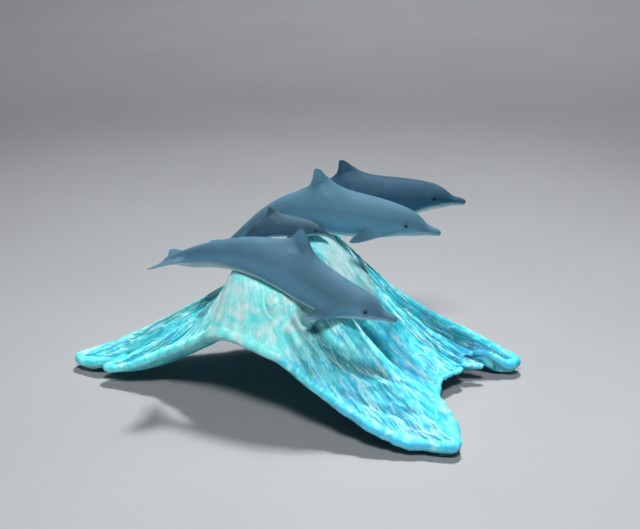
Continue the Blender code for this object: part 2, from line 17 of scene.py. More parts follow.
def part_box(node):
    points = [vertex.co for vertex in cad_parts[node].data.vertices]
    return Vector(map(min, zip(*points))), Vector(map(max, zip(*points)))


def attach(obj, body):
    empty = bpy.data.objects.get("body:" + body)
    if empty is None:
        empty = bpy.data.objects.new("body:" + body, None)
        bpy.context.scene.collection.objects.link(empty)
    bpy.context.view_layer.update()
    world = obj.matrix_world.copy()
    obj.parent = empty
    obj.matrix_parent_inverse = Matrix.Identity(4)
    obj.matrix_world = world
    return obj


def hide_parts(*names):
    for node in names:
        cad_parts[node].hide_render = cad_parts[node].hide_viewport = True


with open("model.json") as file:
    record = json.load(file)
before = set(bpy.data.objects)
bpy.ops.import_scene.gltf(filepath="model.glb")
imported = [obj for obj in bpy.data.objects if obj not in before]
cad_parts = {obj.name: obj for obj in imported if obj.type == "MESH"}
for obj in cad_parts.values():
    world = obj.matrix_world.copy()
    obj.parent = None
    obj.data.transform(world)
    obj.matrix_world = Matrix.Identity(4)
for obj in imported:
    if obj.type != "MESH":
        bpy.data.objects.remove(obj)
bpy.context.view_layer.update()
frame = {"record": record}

bl_info = {
    "name": "Dolphin Pod Figurine",
    "version": (1, 0, 0),
    "blender": (4, 5, 0),
    "location": "View3D > Sidebar > Figurine",
    "description": "Builds the carved wave, the dolphins, the bumper pads and the studio",
    "category": "Object",
}

MM = 0.001

# Bumper pads: the foot each one is under, and how far in from the foot's tip it sits.
PADS = {
    "pad_left": ("left_foot", 0.0060),
    "pad_front": ("front_foot", 0.0067),
    "pad_right": ("right_foot", 0.0079),
}
PAD_RADIUS = 0.005
PAD_HEIGHT = 0.0024
GLUE_GAP = 0.0003
SOLE_HEIGHT = PAD_HEIGHT + GLUE_GAP
SOLE_MARGIN = 0.002
SOLE_RUNOUT = 0.012

# The crest of the wave, near end to far end: a point of its middle line, the way from there to its
# right edge, and the headings of the spokes that leave its right and its left edge.
CREST = (
    ((-0.038, -0.042, 0.0995), (0.016, -0.0045, -0.0045), -65, 210),
    ((0.0013, -0.0005, 0.1180), (0.006, -0.001, -0.001), -5, 160),
    ((0.0013, 0.0525, 0.1095), (0.004, -0.001, 0.0), 50, 115),
)
CREST_END = 0.004
CREST_THICKNESS = 0.046
CREST_CORE = 0.12

# The wave's rim against the clock: name, point on the middle line of its round edge, half the width
# of a tongue or 0, edge radius, and the powers of the fall from the crest.
FOOT_EDGE = 0.0042
FOOT_LIFT = 0.0012
RIGHT_LIFT = 0.0010
FOOT_RIM = SOLE_HEIGHT + FOOT_EDGE + FOOT_LIFT
RIM = (
    ("left_foot", (-0.1785, 0.0200, FOOT_RIM), 0.0062, FOOT_EDGE, (0.92, 1.16)),
    ("left_notch", (-0.1380, 0.0030, 0.0180), 0, 0.0006, (1.00, 1.3)),
    ("left_toe", (-0.1550, -0.0045, 0.0125), 0.0030, 0.0030, (1.00, 1.3)),
    ("left_arch", (-0.1147, -0.0150, 0.0265), 0, 0.0040, (1.10, 1.3)),
    ("arch_shoulder", (-0.0921, -0.0295, 0.0412), 0, 0.0042, (1.15, 1.3)),
    ("arch_top", (-0.0629, -0.0545, 0.0612), 0, 0.0042, (1.35, 1.3)),
    ("arch_right", (-0.0302, -0.0725, 0.0546), 0, 0.0042, (1.50, 1.3)),
    ("front_arch", (0.0106, -0.0925, 0.0304), 0, 0.0042, (1.30, 1.3)),
    ("front_heel", (0.0479, -0.1100, 0.0126), 0, 0.0042, (1.20, 1.3)),
    ("front_foot", (0.0880, -0.1160, FOOT_RIM), 0.0170, FOOT_EDGE, (1.15, 1.3)),
    ("web_corner", (0.0840, -0.0540, 0.0129), 0, 0.0024, (1.10, 1.3)),
    ("web_edge", (0.0880, -0.0300, 0.0139), 0, 0.0020, (1.10, 1.3)),
    ("short_tooth", (0.1065, -0.0125, 0.0139), 0.0010, 0.0014, (1.10, 1.3)),
    ("tooth_gap", (0.0985, -0.0095, 0.0165), 0, 0.0006, (1.10, 1.3)),
    ("long_tooth", (0.1205, -0.0050, 0.0130), 0.0008, 0.0012, (1.05, 1.3)),
    ("tooth_slot", (0.1060, -0.0005, 0.0190), 0, 0.0005, (1.05, 1.3)),
    ("right_instep", (0.1220, 0.0066, 0.0190), 0, 0.0026, (1.05, 1.3)),
    ("right_foot", (0.1480, 0.0135, FOOT_RIM + RIGHT_LIFT), 0.0062, FOOT_EDGE, (0.74, 0.96)),
    ("back_right", (0.1000, 0.0400, 0.0260), 0, 0.0042, (0.50, 1.3)),
    ("back_top", (0.0000, 0.0700, 0.0420), 0, 0.0042, (1.00, 1.3)),
    ("back_left", (-0.1000, 0.0450, 0.0300), 0, 0.0042, (0.95, 1.3)),
)
EVEN_SHARE = 0.04
CUT_EDGE = 0.0018
CUT_BANK = 6
CARVE_FADE = 8
WALL_THINNING = 0.8

# Broad gullies down the wave: the rim point each heads for, half width in degrees, depth, and the
# shares of the way where it is deepest and where it runs out.
GULLIES = (
    ("web_corner", 10.0, 0.0120, 0.30, 1.09),
    ("tooth_slot", 4.5, 0.0045, 0.60, 1.15),
    ("tooth_gap", 3.5, 0.0030, 0.65, 1.15),
    ("front_heel", 8.0, 0.0040, 0.60, 1.15),
    ("left_notch", 3.5, 0.0060, 0.65, 1.15),
    ("back_right", 9.0, 0.0050, 0.55, 1.15),
    ("back_left", 8.0, 0.0050, 0.50, 1.15),
)
BURL_OFFSET = (0.011, -0.015, -0.0155)
BURL_RADIUS = 0.014
BURL_RISE = 0.006

# Furrows and ridges that the carver followed in the wood: points in plan, the height that they add
# (down if negative), their widths to the left and to the right of the way they run, and how dark the
# glaze is in them. The dark glaze is partly real glaze and partly painted shade that falls in the
# furrows.
CARVED_LINES = (
    (((-0.006, -0.059), (0.0105, -0.0728), (0.0307, -0.079), (0.0507, -0.082)), -0.0048, 0.003, 0.009, 1.0),
    (((0.0507, -0.082), (0.064, -0.074), (0.075, -0.0665), (0.086, -0.06)), -0.0016, 0.003, 0.0045, 0.6),
    (((0.0155, -0.0612), (0.0235, -0.0683), (0.0369, -0.0733), (0.0593, -0.0664)), 0.0018, 0.003, 0.005, 0.0),
    (((-0.0155, -0.0624), (-0.0074, -0.0686), (0.0007, -0.0762)), -0.003, 0.003, 0.0045, 0.8),
    (((-0.02, -0.068), (-0.013, -0.075), (-0.004, -0.083)), -0.002, 0.0025, 0.0035, 0.6),
    (((0.0086, -0.0943), (0.0205, -0.0985), (0.0546, -0.1045), (0.085, -0.108)), 0.0018, 0.0045, 0.0022, 0.0),
    (((0.0186, -0.0905), (0.0305, -0.0934), (0.0548, -0.0997), (0.0872, -0.101)),
     -0.0016, 0.0022, 0.004, 0.4),
    (((0.02, -0.084), (0.04, -0.088), (0.064, -0.09), (0.085, -0.089)), 0.0015, 0.0045, 0.0022, 0.0),
    (((0.0328, 0.0013), (0.0497, 0.0023), (0.0684, 0.0053), (0.0895, 0.0069), (0.115, 0.0067)),
     -0.0022, 0.0024, 0.0042, 0.7),
    (((0.03, -0.013), (0.055, -0.011), (0.08, -0.008), (0.105, -0.006)), -0.0015, 0.0022, 0.005, 0.5),
    (((0.033, -0.026), (0.055, -0.025), (0.078, -0.023), (0.093, -0.02)), 0.0015, 0.005, 0.0024, 0.0),
    (((0.03, -0.04), (0.05, -0.043), (0.07, -0.042), (0.086, -0.038)), -0.0015, 0.0024, 0.005, 0.5),
    (((-0.14, 0.004), (-0.1183, -0.006), (-0.0955, -0.0125), (-0.074, -0.021)), -0.0026, 0.005, 0.0022, 0.6),
    (((-0.05, -0.038), (-0.0787, -0.004), (-0.0999, 0.003), (-0.135, 0.009)), -0.002, 0.004, 0.0025, 0.7),
    (((-0.056, -0.033), (-0.07, -0.024), (-0.088, -0.012)), -0.0022, 0.0022, 0.003, 0.8),
    (((-0.148, 0.03), (-0.15, 0.018), (-0.156, 0.008)), -0.0014, 0.004, 0.003, 0.2),
    (((0.058, 0.0116), (0.07, 0.0118), (0.086, 0.0122), (0.102, 0.0126)), -0.0022, 0.014, 0.014, 0.0),
)
# The cavity beside the burl, under the front dolphin's belly, takes the darkest glaze: partly dark glaze and
# partly painted shade from the dolphin above it.
CAVITY_MIDDLE = (-0.0085, -0.0585)
CAVITY_RADIUS = 0.0085
CAVITY_DEPTH = 0.0070
SHOULDER_MIDDLE = (-0.064, -0.034)
SHOULDER_RADIUS = 0.014
SHOULDER_RISE = 0.0034

# The rim is worn in gentle scallops, and its thin edges are broken. Each row is the length of a wave
# along the rim, and how far it moves a thick edge and a thin one.
SCALLOPS = (
    (0.0310, 0.00050, 0.0003),
    (0.0133, 0.00035, 0.0005),
    (0.0071, 0.0, 0.0007),
    (0.0047, 0.0, 0.0005),
)
THIN_EDGE = 0.0030

# How much the scallops' spacing varies, and over how many of them.
SCALLOP_DRIFT = 2
SCALLOP_RUN = 5

# Where the pale belly of a dolphin begins, as stations along it and how far the skin there faces up,
# and how softly it does.
PALE_LINE = (
    (0.00, 0.06, 0.12, 0.20, 0.35, 0.55, 0.70, 0.80, 0.90, 1.00),
    (-0.15, -0.20, -0.42, -0.55, -0.66, -0.66, -0.50, -0.30, -0.35, -0.30),
)
PALE_FADE = 0.22

# Where the lighter paint of the flanks begins, from the skin that faces this far up, and how soon it
# is full.
FLANK_START = 0.80
FLANK_FADE = 1.2

# The dark paint round the eyes, as its strength and reach, and the dark stroke from the beak to the
# eye, as its strength, half width, and the stations where it begins, is full and has its set height.
EYE_SHADE = 0.55
EYE_SHADE_REACH = 0.014
STROKE_SHADE = 0.35
STROKE_WIDTH = 0.006
STROKE_START = 0.04
STROKE_FULL = 0.075
STROKE_KNOT = (0.05, 0.004)

# Paint zones, as middles, reaches and the shares of the reach where the smooth pale paint is full and
# where it ends: the front face and the saddle right of the crest. The saddle's near-white is partly
# pale paint and partly painted light, which keeps it bright where the middle dolphin shades it.
FACE_MIDDLE = (-0.042, -0.056, 0.076)
FACE_REACH = (0.034, 0.030, 0.030)
SADDLE_MIDDLE = (0.021, -0.010, 0.098)
SADDLE_REACH = (0.021, 0.016, 0.024)
FACE_PAINT = (0.8, 1.5)
SADDLE_PAINT = (0.7, 1.5)

# How pale the wave is from its foot up: the tone at the foot, what the height adds between two shares
# of the whole, and what the left leg, the front face and the saddle add, with where each begins and
# is full. What the saddle adds is partly painted light.
FOOT_TONE = 0.16
HEIGHT_TONE = (0.46, 0.06, 0.85)
LEG_TONE = (0.28, -0.04, -0.10)
FACE_TONE = (0.30, 0.5, 1.7)
SADDLE_TONE_AND_PAINTED_LIGHT = (0.65, 0.5, 1.8)
UNDER_WASH = 0.7

# The deep teal band along the right ridge, partly teal paint and partly the painted shadow that the
# middle dolphin casts on the slope, as a line in plan and half its width.
TEAL_AND_SHADOW_BAND = ((0.018, 0.003), (0.040, 0.007), (0.062, 0.0095), (0.084, 0.011), (0.104, 0.012))
TEAL_AND_SHADOW_BAND_WIDTH = 0.008

# Resolution of the carved surface: length of a step along the rim in front and at the back, and the
# rows on the crest, down the top, round the edge and under. The rows of the top draw together towards
# the rim by a power.
FRONT_STEP = 0.0011
BACK_STEP = 0.0018
CREST_ROWS = 7
TOP_ROWS = 96
TOP_CROWDING = 0.92
EDGE_ROWS = 7
UNDER_ROWS = 14
SOFT_ROWS = 12
SOFT_PASSES = 30
ON_TOP = slice(CREST_ROWS, CREST_ROWS + TOP_ROWS)
ON_EDGE = slice(ON_TOP.stop, ON_TOP.stop + EDGE_ROWS)
UNDERNEATH = slice(ON_EDGE.stop, None)

# Rows over which the paint of the rim fades in from the top, over the edge and out underneath.
RIM_ROWS = (4, 3, 3)

# How deep the grain is carved on the crest, the top, the edge as it turns under, and underneath, how
# much of it the smooth front face loses, and the heights over the soles where it fades in.
CREST_GRAIN = 0.35
TOP_GRAIN = 1.0
EDGE_GRAIN = (0.7, 0.3)
UNDER_GRAIN = 0.3
FACE_SMOOTHING = 0.75
SOLE_FADE = (0.5 * MM, 3 * MM)

# The pattern of the wood is made at three widths across the grain, each twice the one before, because
# the spokes draw together towards the crest.
WIDTHS = 3
SPREAD_PASSES = 8
LEAST_SPREAD = 0.05
SWAY_LENGTH = 16.0
CELL_STRETCH = 4.2
PLANK_STRETCH = 3.6
FIBRE_STRETCH = 7.0
FINE_FIBRE_WIDTH = 0.8
VEIN_SEED = 3.0
PATCH_SEED = 7.0

# How the dolphins' paint wanders with the clouds of the airbrush, on the flanks and at the belly's
# edge, and how dark the dark strokes are beside the back.
CLOUD_FADE = 0.30
BELLY_WANDER = 0.16
STROKE_DEPTH = 0.35

# How far the wave's paint wanders with the clouds, and how much of the varnish's relief is fibres.
PAINT_WANDER = 0.9
FINE_FIBRE_SHARE = 0.35

# How far from a cell's edge its plateau is level, in shares of its width, and the reach of the lip.
CELL_SHOULDER = 0.22
PLANK_SHOULDER = 0.45
LIP_REACH = 0.17

# A dolphin's body in shares of its length: station, rise of the back, depth of the belly and half
# breadth, from the beak's tip to the notch of the flukes.
BODY = (
    (0.000, 0.011, 0.009, 0.013),
    (0.025, 0.017, 0.015, 0.020),
    (0.060, 0.019, 0.020, 0.025),
    (0.082, 0.038, 0.029, 0.035),
    (0.120, 0.060, 0.038, 0.050),
    (0.160, 0.069, 0.046, 0.062),
    (0.205, 0.076, 0.062, 0.075),
    (0.290, 0.086, 0.079, 0.088),
    (0.400, 0.094, 0.089, 0.093),
    (0.480, 0.097, 0.086, 0.089),
    (0.545, 0.091, 0.080, 0.081),
    (0.610, 0.083, 0.071, 0.070),
    (0.700, 0.067, 0.056, 0.052),
    (0.800, 0.050, 0.047, 0.034),
    (0.890, 0.031, 0.050, 0.020),
    (0.945, 0.016, 0.023, 0.017),
    (1.000, 0.006, 0.006, 0.017),
)
BODY_ANGLES = (90, 60, 12, -42, -90, -138, 168, 120)
DORSAL = ((0.00, 0.000, 0.150, 0.0140), (0.50, 0.066, 0.074, 0.0085), (1.00, 0.112, 0.026, 0.0040))
PECTORAL = ((0.00, 0.000, 0.076, 0.0130), (0.50, 0.012, 0.064, 0.0085), (1.00, 0.048, 0.018, 0.0035))
FLUKE_SPAN = 0.112
FLUKE_RISE = 0.07
FLUKE = ((0.00, 0.000, 0.100, 0.0100), (0.50, 0.024, 0.090, 0.0060), (1.00, 0.112, 0.022, 0.0030))
FIN_EDGE = 0.4
FIN_SWELL_POWER = 0.8
DORSAL_STATIONS = (0.400, 0.545)
DORSAL_COLUMNS = (1, 0, 7)
PECTORAL_STATIONS = (0.205, 0.290)
FLUKE_STATIONS = (0.890, 1.000)
SIDE_COLUMNS = ((1, (2, 3)), (-1, (6, 5)))
DORSAL_SEAT = 0.96
PECTORAL_OUT = 0.80
PECTORAL_DOWN = 0.42
FLUKE_OUT = 0.5
ROOT_RADIUS = 0.055
ROOT_PASSES = 24

# The pod. The eye is a station and a height above the middle line, the dorsal fin a lead and a span,
# and the pectoral fins a span and the way they point, all in shares of the length.
POD = {
    "dolphin_front": {
        "length": 0.175,
        "heading": -16.0,
        "seat": 0.57,
        "crest": 0.0,
        "sink": 0.002,
        "eye": (0.1215, 0.0108),
        "dorsal": (0.035, 0.099),
        "fins": (0.142, 0.70, 0.25, 0.45),
        "pose": ((0.0, -17), (0.2, -14), (0.35, -31), (0.5, -20), (0.62, -3), (0.8, 8), (1.0, 17)),
    },
    "dolphin_middle": {
        "length": 0.1735,
        "heading": -4.0,
        "seat": 0.50,
        "crest": 0.5,
        "sink": 0.002,
        "eye": (0.150, 0.0163),
        "dorsal": (0.000, 0.094),
        "fins": (0.170, 0.60, 0.52, 0.72),
        "pose": ((0.0, -13.5), (0.2, -12), (0.35, -6.5), (0.5, -2.5), (0.62, 16), (0.8, 37), (1.0, 8)),
    },
    "dolphin_rear": {
        "length": 0.178,
        "heading": -3.0,
        "seat": 0.63,
        "crest": 1.0,
        "sink": 0.002,
        "eye": (0.136, 0.0176),
        "dorsal": (0.015, 0.086),
        "fins": (0.150, 0.62, 0.42, 0.66),
        "pose": ((0.0, -9), (0.2, 0), (0.35, 1), (0.5, 6), (0.62, 12), (0.8, 24), (1.0, 44)),
    },
}
CALF = {
    "length": 0.083,
    "heading": -4.0,
    "mother": "dolphin_middle",
    "beside": 0.645,
    "seat": 0.40,
    "lower": 0.0015,
    "sink": 0.0012,
    "eye": (0.122, 0.0200),
    "dorsal": (0.030, 0.100),
    "fins": (0.150, 0.62, 0.42, 0.66),
    "pose": ((0.0, -20), (0.2, -10), (0.35, -3), (0.5, 12), (0.62, 42), (0.8, 62), (1.0, 64)),
}
WHOLE_POD = {**POD, "dolphin_calf": CALF}

# How often the adults' and the calf's cages are smoothed.
ADULT_LEVELS = 4
CALF_LEVELS = 3

# The mouth: stations and heights above the middle line, in shares of the length, and how far past and
# before its corner it fades out.
MOUTH = (
    (0.000, 0.030, 0.060, 0.085, 0.104, 0.112),
    (-0.001, -0.002, -0.005, -0.010, -0.010, -0.006),
)
MOUTH_FADE = (0.004, -0.006)

# The blowhole, a short bowed slit: its station, bow, width, the half lengths where it has run out and
# where it is full, how far back it reaches, and the share of the back's height that it stays above.
BLOWHOLE_STATION = 0.150
BLOWHOLE_BOW = 0.0011
BLOWHOLE_WIDTH = 0.35 * MM
BLOWHOLE_ENDS = (1.5 * MM, 0.6 * MM)
BLOWHOLE_SPAN = 0.006
BLOWHOLE_HEIGHT = 0.6

# The eyes: radius and flatness of a bead, the size of the smallest as a share of the largest, how far
# they look ahead, and the lid round each, as a share of the radius, a width and a height.
EYE_RADIUS = 0.00115
EYE_FLATNESS = 0.62
LEAST_EYE = 0.62
EYE_AHEAD = 0.28
LID_PLACE = 1.25
LID_WIDTH = 0.45 * MM
LID_HEIGHT = 0.22 * MM

# A bumper pad's profile: how much wider its round edge is than it is high, its small top bevel, the
# degrees between the points of the round edge, the steps round the pad, and the angle in degrees past
# which its edges stay sharp.
PAD_ROUNDING = 2.2
PAD_BEVEL = 0.15 * MM
PAD_TURN = 15
PAD_STEPS = 64
PAD_SHARP = 40

# The studio. A light has its setting for the power, the side of its softbox, the spread that the grid
# allows, its place and the point that it faces. The camera's place is taken before the figurine is
# moved over the origin, and its focal length is a share of its sensor's width. Angles are in degrees.
LIGHTS = (
    ("key_light", "key_power", 0.26, 56, (0.185, 0.71, 2.0), (0.06, -0.20, 0.0)),
    ("front_light", "front_power", 0.36, 100, (0.0, -1.15, 1.75), (0.0, 0.0, 0.0)),
    ("background_light", "background_power", 0.8, 120, (0.3, 1.2, 2.2), (0.2, 2.2, 0.0)),
)
CAMERA_PLACE = (0.002, -0.831, 0.41)
CAMERA_DOWN = 21
SENSOR_WIDTH = 36.0
FOCAL_SHARE = 1244 / 640

# The paper: its width, where it begins in front, where it turns up behind, and how far up it goes.
PAPER_WIDTH = 6.0
PAPER_FRONT = -2.2
PAPER_TURN = 2.2
PAPER_RADIUS = 1.2
PAPER_TOP = 3.0
PAPER_STEPS = 12


def from_hex(code):
    """The linear colour of an sRGB hex code."""
    srgb = [int(code[i : i + 2], 16) / 255 for i in (0, 2, 4)]
    return tuple(c / 12.92 if c <= 0.04045 else ((c + 0.055) / 1.055) ** 2.4 for c in srgb) + (1.0,)


def smooth_through(knots, values, at):
    """A monotone cubic curve through values at the knots, read at one place or several."""
    x, y = np.asarray(knots, float), np.asarray(values, float)
    y = y.reshape(len(x), -1)
    step = np.diff(x)[:, None]
    slope = np.diff(y, axis=0) / step
    before, after = slope[:-1], slope[1:]
    turns = before * after <= 0
    blend = 2 * before * after / np.where(turns, 1.0, before + after)
    tangent = np.vstack([slope[:1], np.where(turns, 0.0, blend), slope[-1:]])
    at = np.atleast_1d(at).astype(float)
    i = np.clip(np.searchsorted(x, at) - 1, 0, len(x) - 2)
    h = step[i]
    t = ((at - x[i])[:, None]) / h
    low = y[i] * (1 + 2 * t) * (1 - t) ** 2 + y[i + 1] * t * t * (3 - 2 * t)
    return low + h * (tangent[i] * t * (1 - t) ** 2 + tangent[i + 1] * t * t * (t - 1))


def smooth_step(value, low=0.0, high=1.0):
    """0 up to one end and 1 past the other, with a soft step between them."""
    value = np.clip((np.asarray(value) - low) / (high - low), 0.0, 1.0)
    return value * value * (3 - 2 * value)


def add_node(tree, kind, inputs=None, stops=None, **settings):
    """A node with its settings, its sockets' values or links by name or place, and its colour stops."""
    made = tree.nodes.new(kind)
    for name, value in settings.items():
        setattr(made, name, value)
    for key, value in (inputs or {}).items():
        if isinstance(value, bpy.types.NodeSocket):
            tree.links.new(value, made.inputs[key])
        else:
            made.inputs[key].default_value = value
    for i, (place, colour) in enumerate(stops or ()):
        stop = made.color_ramp.elements[i] if i < 2 else made.color_ramp.elements.new(place)
        stop.position, stop.color = place, colour
    return made


def mask_of(tree, *parts):
    """The product of its parts. A part is a number, a socket, or a soft step: the socket that it
    reads, where the step starts and ends, and its values there, which are 0 and 1 if left out."""
    product = None
    for part in parts:
        if isinstance(part, tuple):
            inputs = dict(enumerate(part))
            part = add_node(tree, "ShaderNodeMapRange", inputs, interpolation_type="SMOOTHSTEP").outputs[0]
        if product is not None:
            part = add_node(tree, "ShaderNodeMath", {0: product, 1: part}, operation="MULTIPLY").outputs[0]
        product = part
    return product


def coat(tree, paint, colour, *parts):
    """Lays a colour over the paint, as thickly as the product of the parts says."""
    inputs = {0: mask_of(tree, *parts), 6: paint, 7: colour}
    return add_node(tree, "ShaderNodeMix", inputs, data_type="RGBA").outputs[2]


def along_grain(tree, grain, level, width, stretch, seed, textures):
    """Textures stretched along the grain, each made at three widths that take over from each other as
    the spokes of the wave spread. A texture is a node, its output and its settings."""
    near = add_node(tree, "ShaderNodeMapRange", {0: level, 1: 0.0, 2: 1.0, 3: 1.0, 4: 0.0}).outputs[0]
    far = add_node(tree, "ShaderNodeMapRange", {0: level, 1: 1.0, 2: 2.0, 3: 0.0, 4: 1.0}).outputs[0]
    both = add_node(tree, "ShaderNodeMath", {0: near, 1: far}, operation="ADD").outputs[0]
    rest = add_node(tree, "ShaderNodeMath", {0: 1.0, 1: both}, operation="SUBTRACT").outputs[0]
    slow = add_node(tree, "ShaderNodeVectorMath", {0: grain, "Scale": 1 / SWAY_LENGTH}, operation="SCALE")
    sway = add_node(tree, "ShaderNodeTexNoise", {"Vector": slow.outputs[0], "Scale": 1.0, "Detail": 1.5})
    start = add_node(tree, "ShaderNodeVectorMath", {0: sway.outputs["Color"], 1: seed}, operation="ADD")
    blended = [0.0] * len(textures)
    for step, share in zip(range(WIDTHS), (near, rest, far)):
        across = add_node(tree, "ShaderNodeMath", {0: 2.0**-step, 1: width}, operation="DIVIDE").outputs[0]
        along = add_node(tree, "ShaderNodeMath", {0: 1 / stretch, 1: width}, operation="DIVIDE").outputs[0]
        scale = add_node(tree, "ShaderNodeCombineXYZ", {0: across, 1: across, 2: along}).outputs[0]
        inputs = {0: grain, 1: scale, 2: start.outputs[0]}
        place = add_node(tree, "ShaderNodeVectorMath", inputs, operation="MULTIPLY_ADD").outputs[0]
        for i, (kind, output, inputs, settings) in enumerate(textures):
            made = add_node(tree, kind, {"Vector": place, "Scale": 1.0, **inputs}, **settings)
            inputs = {0: made.outputs[output], 1: share, 2: blended[i]}
            blended[i] = add_node(tree, "ShaderNodeMath", inputs, operation="MULTIPLY_ADD").outputs[0]
    return blended


# The textures of the wood: how far it is to a cell's edge and the cell's own value, and the fibres.
CELLS = (
    ("ShaderNodeTexVoronoi", "Distance", {}, {"feature": "DISTANCE_TO_EDGE"}),
    ("ShaderNodeTexVoronoi", "Color", {}, {"feature": "F1"}),
)
FIBRES = (("ShaderNodeTexNoise", "Fac", {"Detail": 3.0, "Roughness": 0.55}, {}),)


def shader_tree(name):
    """A new material, its tree and its Principled shader."""
    made = bpy.data.materials.new(name)
    made.use_nodes = True
    return made, made.node_tree, made.node_tree.nodes["Principled BSDF"]


def linked(name, data):
    """A new object in the scene."""
    made = bpy.data.objects.new(name, data)
    bpy.context.scene.collection.objects.link(made)
    return made


def mesh_from(bm, name):
    """The mesh of a finished bmesh, with its faces turned outwards."""
    bmesh.ops.recalc_face_normals(bm, faces=bm.faces)
    mesh = bpy.data.meshes.new(name)
    bm.to_mesh(mesh)
    bm.free()
    return mesh


def applied(holder):
    """The plain mesh that an object's modifiers make. The object itself is removed."""
    graph = bpy.context.evaluated_depsgraph_get()
    made = bpy.data.meshes.new_from_object(holder.evaluated_get(graph))
    bpy.data.objects.remove(holder)
    return made


def finished(name, mesh, slot, *nodes):
    """Puts a piece in the scene, rides it on the root body and lets it stand for these CAD nodes."""
    mesh.name = name
    made = linked(name, mesh)
    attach(made, "root")
    if nodes:
        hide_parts(*nodes)
    return made


def set_attributes(mesh, values):
    """Stores named values for each point of a mesh: numbers, or vectors of three."""
    for name, value in values.items():
        value = np.asarray(value, np.float32)
        vector = value.size == 3 * len(mesh.vertices)
        layer = mesh.attributes.new(name, "FLOAT_VECTOR" if vector else "FLOAT", "POINT")
        layer.data.foreach_set("vector" if vector else "value", value.ravel())


def read_vectors(items, key):
    """A vector for each of a mesh's items, such as the places of its points."""
    values = np.empty(len(items) * 3, np.float32)
    items.foreach_get(key, values)
    return values.reshape(-1, 3).astype(float)


def points_of(mesh):
    """The places of a mesh's points."""
    return read_vectors(mesh.vertices, "co")


def normals_of(mesh):
    """The way that a mesh faces at each of its points."""
    return read_vectors(mesh.vertex_normals, "vector")


def move_points(mesh, points):
    """Gives a mesh's points new places."""
    mesh.vertices.foreach_set("co", np.asarray(points, np.float32).ravel())
    mesh.update()


def rim_places():
    """The rim's knots by name."""
    return {row[0]: row[1] for row in RIM}


def heading_of(points):
    """The way from the middle of the crest to these points in plan, in radians."""
    points, middle = np.asarray(points), CREST[1][0]
    return np.arctan2(points[..., 1] - middle[1], points[..., 0] - middle[0])


def pad_centre(name):
    """The middle of a pad in plan, before the figurine is moved over the origin."""
    foot, inset = PADS[name]
    place = np.array(rim_places()[foot][:2])
    heading = heading_of(place)
    return place - inset * np.array((math.cos(heading), math.sin(heading)))


def shift_to_frame():
    """The way from the wave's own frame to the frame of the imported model, read at a pad."""
    low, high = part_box("pad_left")
    centre = pad_centre("pad_left")
    return Vector(((low[0] + high[0]) / 2 - centre[0], (low[1] + high[1]) / 2 - centre[1], 0.0))


SHIFT = shift_to_frame()


class Spine:
    """A dolphin's middle line in its own upright plane, with the seated belly point at the origin."""

    STEPS = 400
    SEARCH_STEP = 4

    def __init__(self, dolphin):
        self.length = dolphin["length"]
        self.pose = dolphin["pose"]
        self.at = np.linspace(0.0, 1.0, self.STEPS + 1)
        pitch = self.pitch(self.at)
        step = self.length / self.STEPS
        middle = (pitch[1:] + pitch[:-1]) / 2
        self.x = -np.concatenate([[0.0], np.cumsum(np.cos(middle)) * step])
        self.z = -np.concatenate([[0.0], np.cumsum(np.sin(middle)) * step])
        seat = dolphin["seat"]
        belly = self.point(seat) - self.up(seat) * self.half_sizes(seat)[1]
        self.x, self.z = self.x - belly.x, self.z - belly.z

    def pitch(self, station):
        """How far the line climbs at a station, in radians."""
        stations, degrees = zip(*self.pose)
        return np.radians(smooth_through(stations, degrees, station)[:, 0])

    def point(self, station):
        """The point of the line at a station."""
        return Vector((np.interp(station, self.at, self.x), 0.0, np.interp(station, self.at, self.z)))

    def forward(self, station):
        """The way from tail to beak at a station."""
        pitch = float(self.pitch(station)[0])
        return Vector((math.cos(pitch), 0.0, math.sin(pitch)))

    def up(self, station):
        """The way from belly to back at a station."""
        forward = self.forward(station)
        return Vector((-forward.z, 0.0, forward.x))

    def half_sizes(self, station):
        """Rise of the back, depth of the belly and half breadth at a station."""
        rows = np.array(BODY)
        return smooth_through(rows[:, 0], rows[:, 1:], station)[0] * self.length

    def stations_of(self, points):
        """The nearest station to each point, and the point's height above the middle line there."""
        every = slice(None, None, self.SEARCH_STEP)
        line = np.stack([self.x[every], self.z[every]], axis=1)
        flat = points[:, [0, 2]]
        nearest = ((flat[:, None] - line[None]) ** 2).sum(axis=2).argmin(axis=1)
        station = self.at[every][nearest]
        pitch = self.pitch(station)
        forward = np.stack([np.cos(pitch), np.sin(pitch)], axis=1)
        away = flat - line[nearest]
        station = np.clip(station - (away * forward).sum(axis=1) / self.length, 0.0, 1.0)
        up = np.stack([-forward[:, 1], forward[:, 0]], axis=1)
        return station, (away * up).sum(axis=1)


def ring_points(spine, station):
    """Points round the body's cage at a station."""
    cage = 3 / (2 + math.cos(2 * math.pi / len(BODY_ANGLES)))
    back, belly, side = spine.half_sizes(station) * cage
    middle, up = spine.point(station), spine.up(station)
    points = []
    for angle in np.radians(BODY_ANGLES):
        height = (back if math.sin(angle) > 0 else belly) * math.sin(angle)
        points.append(middle + up * height + Vector((0.0, side * math.cos(angle), 0.0)))
    return points


def body_cage(bm, spine):
    """The body's rings, skinned into a closed cage."""
    grid = [[bm.verts.new(point) for point in ring_points(spine, row[0])] for row in BODY]
    count = len(BODY_ANGLES)
    for row, after in zip(grid[:-1], grid[1:]):
        for j in range(count):
            k = (j + 1) % count
            bm.faces.new((row[j], row[k], after[k], after[j]))
    bm.faces.new(grid[0])
    bm.faces.new(grid[-1][::-1])
    return grid


def fin_point(root, axes, shape, share, span, length, chord_share, side):
    """A point of a fin. The side runs from -1 to 1 through the fin's thickness."""
    out, back, flat = axes
    rows = np.array(shape)
    setback, chord, half = smooth_through(rows[:, 0], rows[:, 1:], share)[0] * length
    swell = FIN_EDGE + (1 - FIN_EDGE) * math.sin(math.pi * chord_share**FIN_SWELL_POWER)
    along = back * (setback + chord * chord_share)
    return root + out * (share * span * length) + along + flat * (half * swell * side)


